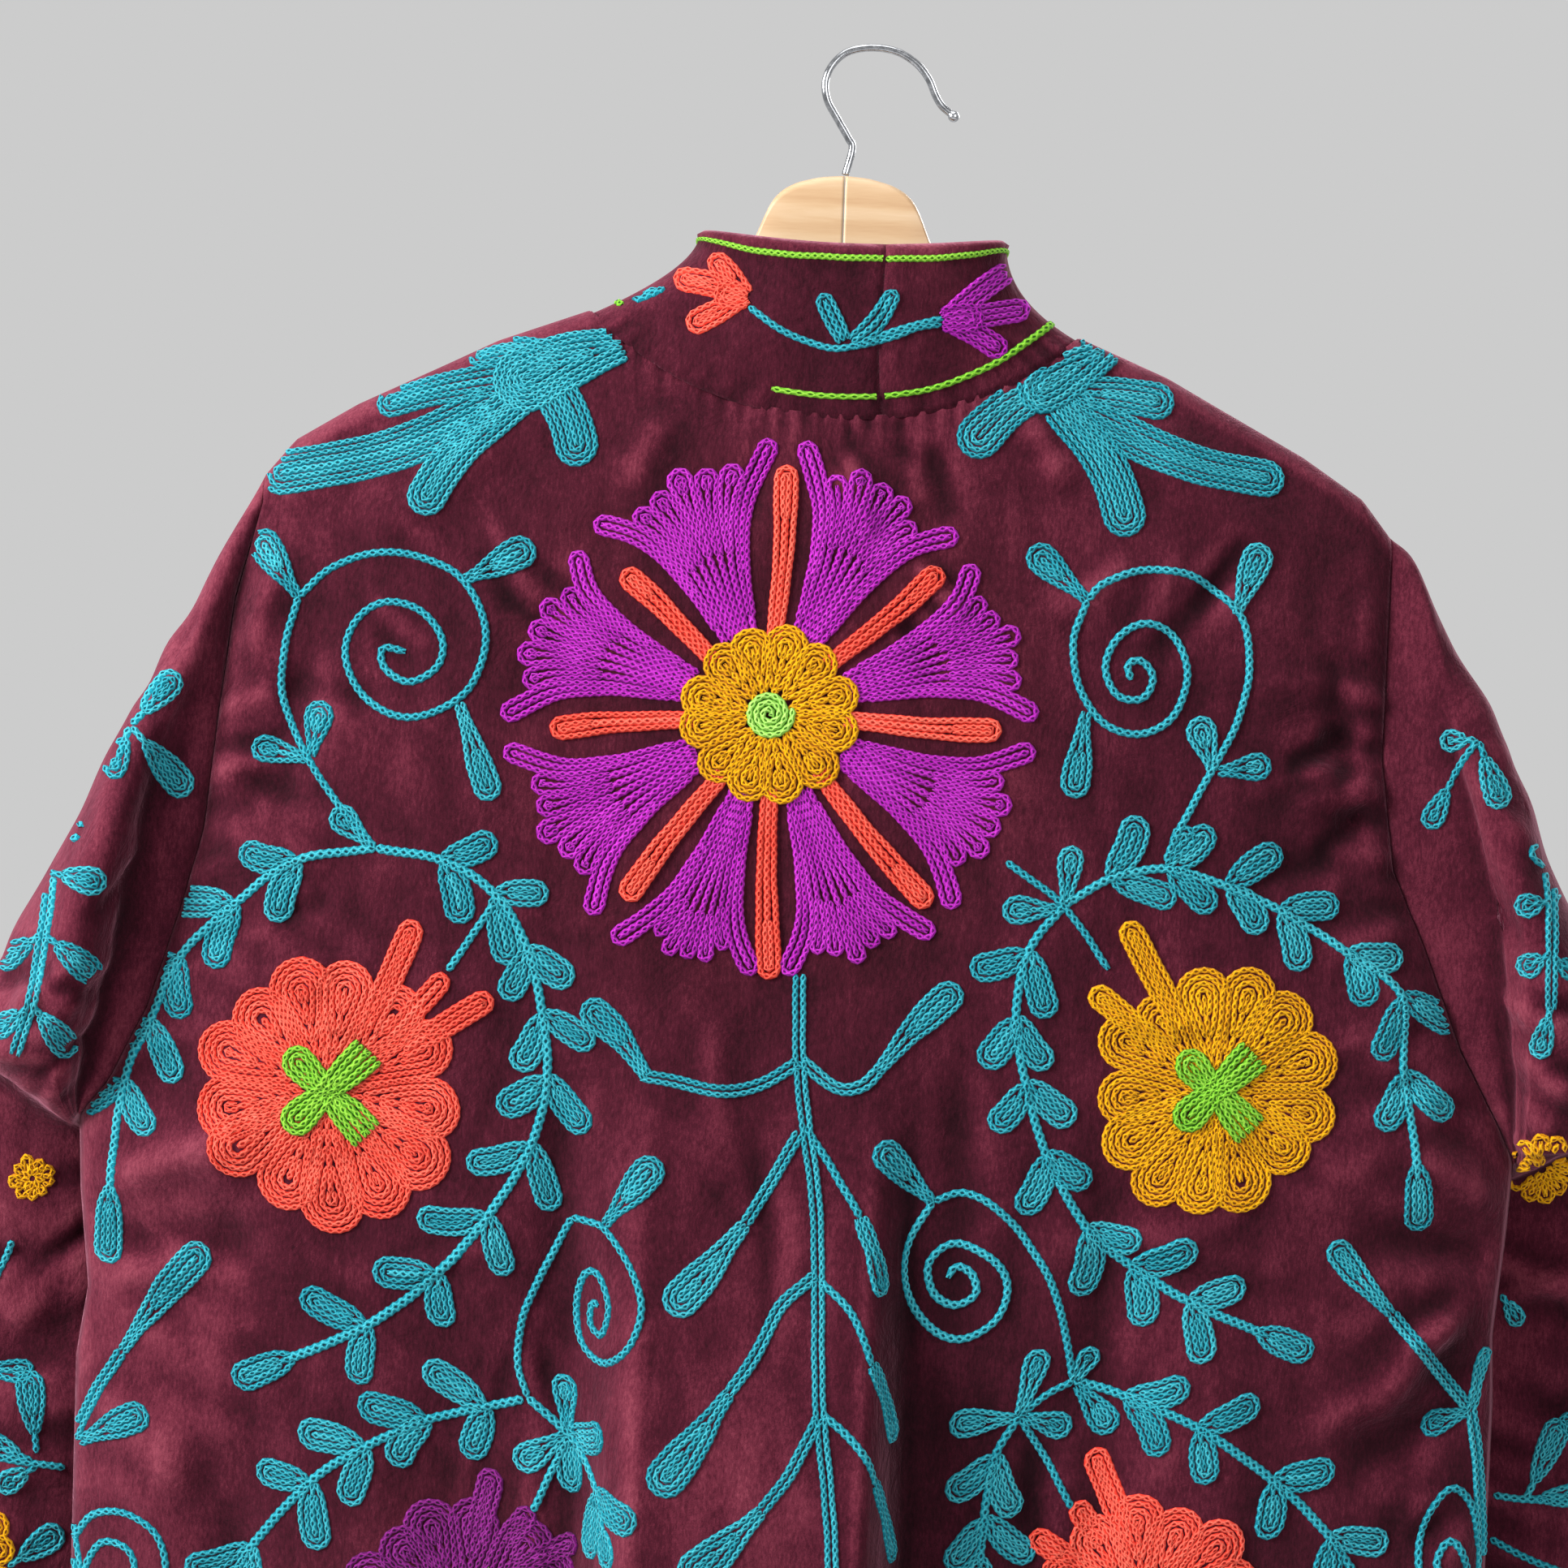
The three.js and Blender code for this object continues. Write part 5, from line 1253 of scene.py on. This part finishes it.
class Band:
    """cloth co-ordinates of a collar half: s along it (0..1), t up it (0..1)"""
    def __init__(self, P, out, under=None):
        self.under = under
        self.P, self.N = P, grid_normals(P, False) * out
        self.len = 1000.0
    def place(self, st):
        m, n = self.P.shape[:2]
        L = np.concatenate([[0], np.cumsum(np.linalg.norm(np.diff(self.P[m // 2], axis=0), axis=1))])
        H = np.linalg.norm(self.P[-1] - self.P[0], axis=1)
        j = np.interp(st[:, 0], L, np.arange(n))
        j0 = np.clip(j.astype(int), 0, n - 2); fj = (j - j0)[:, None]
        hh = np.interp(j, np.arange(n), H)
        i = np.clip(st[:, 1] / hh, 0, 1) * (m - 1)
        i0 = np.clip(i.astype(int), 0, m - 2); fi = (i - i0)[:, None]
        g = lambda A: (A[i0, j0] * (1 - fi) + A[i0 + 1, j0] * fi) * (1 - fj) + (A[i0, j0 + 1] * (1 - fi) + A[i0 + 1, j0 + 1] * fi) * fj
        N = g(self.N)
        ok = (st[:, 0] >= 0) & (st[:, 0] <= L[-1])
        return g(self.P), N / np.maximum(1e-9, np.linalg.norm(N, axis=1, keepdims=True)), ok
    def lines(self):
        m, n = self.P.shape[:2]
        L = np.linalg.norm(np.diff(self.P[m // 2], axis=0), axis=1).sum()
        H = np.linalg.norm(self.P[-1] - self.P[0], axis=1)
        s = np.linspace(0.0, L - 4, 120)
        h = np.interp(s, np.linspace(0, L, n), H)
        S = Stitch()
        S.row("lime", np.stack([s, h - 6.2], -1), 3.3, 0, 1.2)
        # the lower line goes under the rolled neck seam for a stretch of the left half
        for part in ([s] if self.under is None else [s[s < self.under[0]], s[s > self.under[1]]]):
            S.row("lime", np.stack([part, np.full_like(part, 9.0)], -1), 2.9, 0, 1.1)
        return S

# ------------------------------------------------------------------ embroidery of the sleeves
SLEEVE_CAM = {1: Cast([(P_sl, 1)], (0, 0, 0), (1, 0, 0), (0, 0, 1), (0, -1, 0), True, perspective=True, px=PX),
              -1: Cast([(P_sr, -1)], (0, 0, 0), (1, 0, 0), (0, 0, 1), (0, -1, 0), True, perspective=True, px=PX)}
sl = Stitch(); sr = Stitch()
def club(S, base, tip, wide, stalk=1.6, col="teal"):
    S.leaf(col, Q(*base), Q(*tip), wide * PX, stalk, 0.0, 0, "club")
for b, t, w in (((163, 893), (223, 826), 16), ((163, 896), (234, 980), 18), ((160, 896), (136, 962), 14), ((60, 1075), (134, 1090), 17), ((58, 1080), (6, 1142), 16),
                ((54, 1150), (124, 1208), 17), ((52, 1150), (-8, 1192), 16), ((38, 1236), (92, 1302), 17), ((36, 1240), (-14, 1276), 15), ((72, 1050), (100, 1008), 12)):
    club(sl, b, t, w)
sl.line("teal", Qs([(66, 1050), (60, 1110), (54, 1150), (40, 1230), (18, 1300)]), 2, gap=2.8)
for b, t, w in (((1818, 912), (1768, 913), 15), ((1822, 914), (1852, 1000), 16), ((1790, 960), (1757, 1024), 14), ((1911, 1110), (1862, 1120), 16), ((1912, 1110), (1946, 1090), 14),
                ((1911, 1175), (1866, 1200), 16), ((1912, 1178), (1950, 1206), 14), ((1911, 1240), (1894, 1308), 14), ((1908, 1075), (1888, 1038), 12)):
    club(sr, b, t, w)
sr.line("teal", Qs([(1820, 912), (1804, 935), (1788, 962)]), 1, 3.8)
sr.line("teal", Qs([(1906, 1065), (1911, 1110), (1912, 1180), (1911, 1245)]), 2, gap=2.8)
# lower sleeves, seen below the overhang
for b, t, w in (((45, 1790), (35, 1686), 17), ((40, 1800), (-30, 1770), 15), ((46, 1806), (-6, 1836), 15), ((10, 1930), (80, 1882), 17)):
    club(sl, b, t, w)
sl.line("teal", Qs([(80, 1808), (46, 1804), (20, 1800), (-30, 1790)]), 1, 3.8)
sl.daisy("mustard", Q(40, 1452), 12, 9, a0=0.2)
sr.daisy("mustard", Q(1900, 1440), 17, 10, a0=0.2)
for b, t, w in (((1850, 1595), (1876, 1636), 12), ((1880, 1848), (1926, 1745), 16), ((1882, 1848), (1960, 1840), 14)):
    club(sr, b, t, w)
sr.line("teal", Qs([(1840, 1842), (1882, 1848), (1940, 1850)]), 1, 3.8)
sr.line("teal", Qs([(1836, 1896), (1890, 1924), (1950, 1945)]), 1, 3.8)

def outer_drawing(sd):
    """outer and front sides of a sleeve, drawn square on and cast along the given direction; s across, t down from the shoulder"""
    S = Stitch()
    c = 29 * sd
    S.line("teal", [(c, 512), (c + 3, 550), (c - 2, 595), (c + 3, 640), (c, 672)], 1, 4.0)
    for k, t in enumerate((520, 553, 586, 618, 648)):
        S.leaf("teal", (c + 1, t), (c + 14, t + 15 + 2 * (k % 2)), 4.8, 2); S.leaf("teal", (c + 1, t + 6), (c - 13, t + 22), 4.8, 2)
    return S
def sleeve_front(sd):
    S = Stitch()
    stem = lambda t: 275 + (t - 300) * 0.34
    S.line("teal", [(stem(t), t) for t in (288, 330, 372, 412)], 1, 4.0)
    for t in (300, 334, 368, 400):
        S.leaf("teal", (stem(t), t), (stem(t) - 13, t + 15), 4.6, 2); S.leaf("teal", (stem(t), t - 4), (stem(t) + 14, t + 12), 4.6, 2)
    flower(S, "coral" if sd > 0 else "mustard", (335, 562), 30, 12, 0.2, (), seed=81)
    S.garland("teal", [(300, 500), (320, 490), (348, 494), (368, 522), (371, 575), (358, 618), (328, 636), (304, 660), (320, 700)], 20, 16, 4.6, seed=83)
    S.leaf("teal", (345, 655), (372, 690), 5, 2); S.leaf("teal", (372, 660), (392, 690), 4.6, 2)
    return S
def sleeve_back_low(sd):
    S = Stitch()
    flower(S, "mustard" if sd > 0 else "purple", (352, 640), 30, 12, 0.2, (), seed=91)
    S.line("teal", [(330, 505), (345, 550), (340, 600)], 1, 3.7)
    S.leaf("teal", (336, 530), (362, 520), 5, 2); S.leaf("teal", (344, 560), (318, 560), 4.6, 2); S.leaf("teal", (344, 575), (372, 580), 4.8, 2)
    S.leaf("teal", (325, 690), (345, 710), 4.6, 2); S.leaf("teal", (372, 688), (390, 706), 4.6, 2)
    return S

def make(prefix, surface, S):
    for colour, rows in S.rows.items():
        stitch_mesh(f"{prefix}_{colour}", surface, rows, THREAD[colour])
make("back_stitch", BACK, back)
make("front_left_stitch", FRONT, front_l)
make("front_right_stitch", FRONT, front_r)
make("collar_stitch", COLLAR_CAM, collar_b)
for nm, P, out in (("collar_left_line", P_cl, -1), ("collar_right_line", P_cr, 1)):
    band = Band(P, out, (36.0, 96.0) if P is P_cl else None)
    make(nm, band, band.lines())
make("sleeve_left_stitch", SLEEVE_CAM[1], sl)
make("sleeve_right_stitch", SLEEVE_CAM[-1], sr)
for sd, P, nm in ((1, P_sl, "left"), (-1, P_sr, "right")):
    out = Cast([(P, sd)], (sd * 700, -8, 0), (0, -sd, 0), (-0.0 * sd, 0, -1), (-sd, 0, 0), True)
    make(f"sleeve_{nm}_outer", out, outer_drawing(sd))
    fr = Cast([(P, sd)], (0, -700, 0), (sd, 0, 0), (0, 0, -1), (0, 1, 0), True)
    make(f"sleeve_{nm}_front", fr, sleeve_front(sd))
    bk = Cast([(P, sd)], (0, 700, 0), (sd, 0, 0), (0, 0, -1), (0, -1, 0), True)
    make(f"sleeve_{nm}_low", bk, sleeve_back_low(sd))

# ------------------------------------------------------------------ hanger
OFF_MIDDLE = abs(HANGER_X - JACKET_X)
def arm_top_at(x, side):
    return min(float(shoulder_z(side * x - OFF_MIDDLE)), float(shoulder_z(side * x + OFF_MIDDLE))) - 5.8
def hanger_arm(name, side):
    """a curved arm with rounded edges: sections of a rounded bar along its length"""
    arm_top = lambda x: arm_top_at(x, side)
    tops = [(SEAM / 2, 0), (10, -0.8), (20, -3.4), (27, -7.5), (31.5, -14), (36, -27), (46, -42), (62, -52), (84, -59)]
    tops = [(x, BLOCK_TOP_Z + z) for x, z in tops] + [(x, arm_top(x)) for x in (104, 122, 140, 160, 178, 195, 208, 216)] + [(221, arm_top(221) - 4), (222, arm_top(221) - 12)]
    lows = [(SEAM / 2, -112), (40, -116), (80, -129), (120, -147), (160, -169), (195, -192), (217, arm_top(221) - 19), (222, arm_top(221) - 12.6)]
    # the outline, smoothed
    tp, lp = np.array(tops), np.array(lows)
    xs = np.concatenate([np.linspace(SEAM / 2, 40, 34), np.linspace(41.5, 216, 70), np.linspace(217, 221.9, 10)])
    zt, zl = np.interp(xs, tp[:, 0], tp[:, 1]), np.interp(xs, lp[:, 0], lp[:, 1])
    def blur(z, k):
        e = np.concatenate([np.full(k, z[0]), z, np.full(k, z[-1])])
        return np.convolve(e, np.ones(2 * k + 1) / (2 * k + 1), "valid")
    zt[:-8] = blur(zt, 2)[:-8]
    zl[:-8] = blur(zl, 3)[:-8]
    R, half, verts = 3.6, ARM_THICK / 2, []
    K = 6
    ring_n = 4 * (K + 1)
    for x, a, b in zip(xs, zt, zl):
        r = min(R, (a - b) / 2 - 0.05, half - 0.05)
        r = max(r, 0.2)
        for cx, cz, s0 in ((half - r, a - r, 0), (-(half - r), a - r, 1), (-(half - r), b + r, 2), (half - r, b + r, 3)):
            for k in range(K + 1):
                an = s0 * math.pi / 2 + k / K * math.pi / 2
                verts.append((side * x, cx + r * math.cos(an), cz + r * math.sin(an)))
    V = np.array(verts)
    n = len(xs)
    faces = []
    for i in range(n - 1):
        for j in range(ring_n):
            j2 = (j + 1) % ring_n
            faces.append((i * ring_n + j, i * ring_n + j2, (i + 1) * ring_n + j2, (i + 1) * ring_n + j))
    me = bpy.data.meshes.new(name)
    V[:, 0] += HANGER_X
    fl = [list(f) if side > 0 else list(f)[::-1] for f in faces]
    end0, end1 = list(range(ring_n)), list(range((n - 1) * ring_n, n * ring_n))
    fl.append(end0[::-1] if side > 0 else end0)
    fl.append(end1 if side > 0 else end1[::-1])
    me.from_pydata((V * 0.001).tolist(), [], fl)
    me.update()
    import bmesh
    bm = bmesh.new(); bm.from_mesh(me)
    bmesh.ops.recalc_face_normals(bm, faces=bm.faces)
    bm.to_mesh(me); bm.free()
    me.polygons.foreach_set("use_smooth", [True] * (len(fl) - 2) + [False, False])
    ob = bpy.data.objects.new(name, me)
    bpy.context.scene.collection.objects.link(ob)
    ob.data.materials.append(WOOD)
    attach(ob, "root"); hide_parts(name.replace("_wood", ""))
WOOD, CHROME = wood_material(), chrome_material()
hanger_arm("hanger_arm_left_wood", 1)
hanger_arm("hanger_arm_right_wood", -1)

def hook():
    c = curve([(x, z) for x, z in hook_path], 0.55)
    g, n = sides(c)
    K, r = 20, WIRE / 2
    an = np.arange(K) / K * 2 * math.pi
    rings = []
    for i in range(len(c)):
        nx, nz = n[i]
        rings.append(np.stack([c[i, 0] + nx * r * np.cos(an), r * np.sin(an), c[i, 1] + nz * r * np.cos(an)], -1))
    # the wire's end is upset into a small ball
    tip, dirn = c[-1], g[-1]
    R = 2.35
    for k in range(1, 12):
        ph = -1.0 + k / 11 * (1.0 + math.pi / 2)
        off, rad = R * math.sin(ph) + R * 0.75, max(0.02, R * math.cos(ph))
        o = tip + dirn * off
        rings.append(np.stack([o[0] + n[-1][0] * rad * np.cos(an), rad * np.sin(an), o[1] + n[-1][1] * rad * np.cos(an)], -1))
    V = np.concatenate(rings)
    m = len(rings)
    faces = [(i * K + j, i * K + (j + 1) % K, (i + 1) * K + (j + 1) % K, (i + 1) * K + j) for i in range(m - 1) for j in range(K)]
    faces = [list(f) for f in faces] + [list(range(K))[::-1], list(range((m - 1) * K, m * K))]
    me = bpy.data.meshes.new("hook_wire")
    me.from_pydata((V * 0.001).tolist(), [], faces)
    import bmesh
    bm = bmesh.new(); bm.from_mesh(me)
    bmesh.ops.recalc_face_normals(bm, faces=bm.faces)
    bm.to_mesh(me); bm.free()
    me.polygons.foreach_set("use_smooth", [True] * len(faces))
    ob = bpy.data.objects.new("hook_wire", me)
    bpy.context.scene.collection.objects.link(ob)
    ob.data.materials.append(CHROME)
    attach(ob, "root"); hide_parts("hook")
hook()

# ------------------------------------------------------------------ stage, light and camera
me = bpy.data.meshes.new("floor")
ring_pts = [(3.9 * math.cos(k * math.pi / 48), 3.9 * math.sin(k * math.pi / 48), -1.6) for k in range(96)]
me.from_pydata(ring_pts, [], [tuple(range(96))])
floor = bpy.data.objects.new("floor", me)
bpy.context.scene.collection.objects.link(floor)
floor.data.materials.append(stage_material("stage", (188, 188, 188)))

wd = bpy.data.worlds.new("studio")
wd.use_nodes = True
bg = wd.node_tree.nodes["Background"]
env = Net(wd.node_tree)
way = env.n("SeparateXYZ")
env.link(env.n("TexCoord").outputs["Generated"], way.inputs[0])
env.link(env.ramp(env.remap(way.outputs[1], -0.5, 0.7, 0.0, 1.0), [(0.1, lin(204, 204, 204)), (0.75, lin(172, 172, 172))]), bg.inputs[0])
bg.inputs[1].default_value = 1.0
bpy.context.scene.world = wd

def area(name, loc, target, size, power, colour=(1, 1, 1)):
    l = bpy.data.lights.new(name, "AREA")
    l.shape, l.size, l.energy, l.color = "SQUARE", size, power, colour
    o = bpy.data.objects.new(name, l)
    o.location = loc
    o.rotation_euler = (Vector(target) - Vector(loc)).to_track_quat("-Z", "Y").to_euler()
    bpy.context.scene.collection.objects.link(o)
area("key", (2.35, 1.35, 0.75), (0, 0, -0.42), 0.9, 150)
area("fill", (-1.2, 2.2, 0.3), (0, 0, -0.4), 1.6, 26)
area("front_key", (-1.5, -2.1, 0.8), (0, 0, -0.45), 1.3, 62)
area("top", (0.2, 0.3, 1.7), (0, 0, -0.4), 1.4, 18)

cam_data = bpy.data.cameras.new("camera")
cam_data.sensor_width = 36.0
cam_data.lens = 36.0 * CAM_D / (1932 * PX)
cam_data.clip_start, cam_data.clip_end = 0.05, 200
cam = bpy.data.objects.new("camera", cam_data)
bpy.context.scene.collection.objects.link(cam)
cx, cy, cz = (CAM + np.array([JACKET_X, 0, 0])) * 0.001
cam.matrix_world = Matrix(((CAM_R[0], CAM_U[0], 0, cx), (CAM_R[1], CAM_U[1], 1, cy), (CAM_R[2], CAM_U[2], 0, cz), (0, 0, 0, 1)))
bpy.context.scene.camera = cam
sc = bpy.context.scene
sc.view_settings.view_transform = "Standard"
sc.view_settings.look = "None"
sc.view_settings.exposure = 0.0
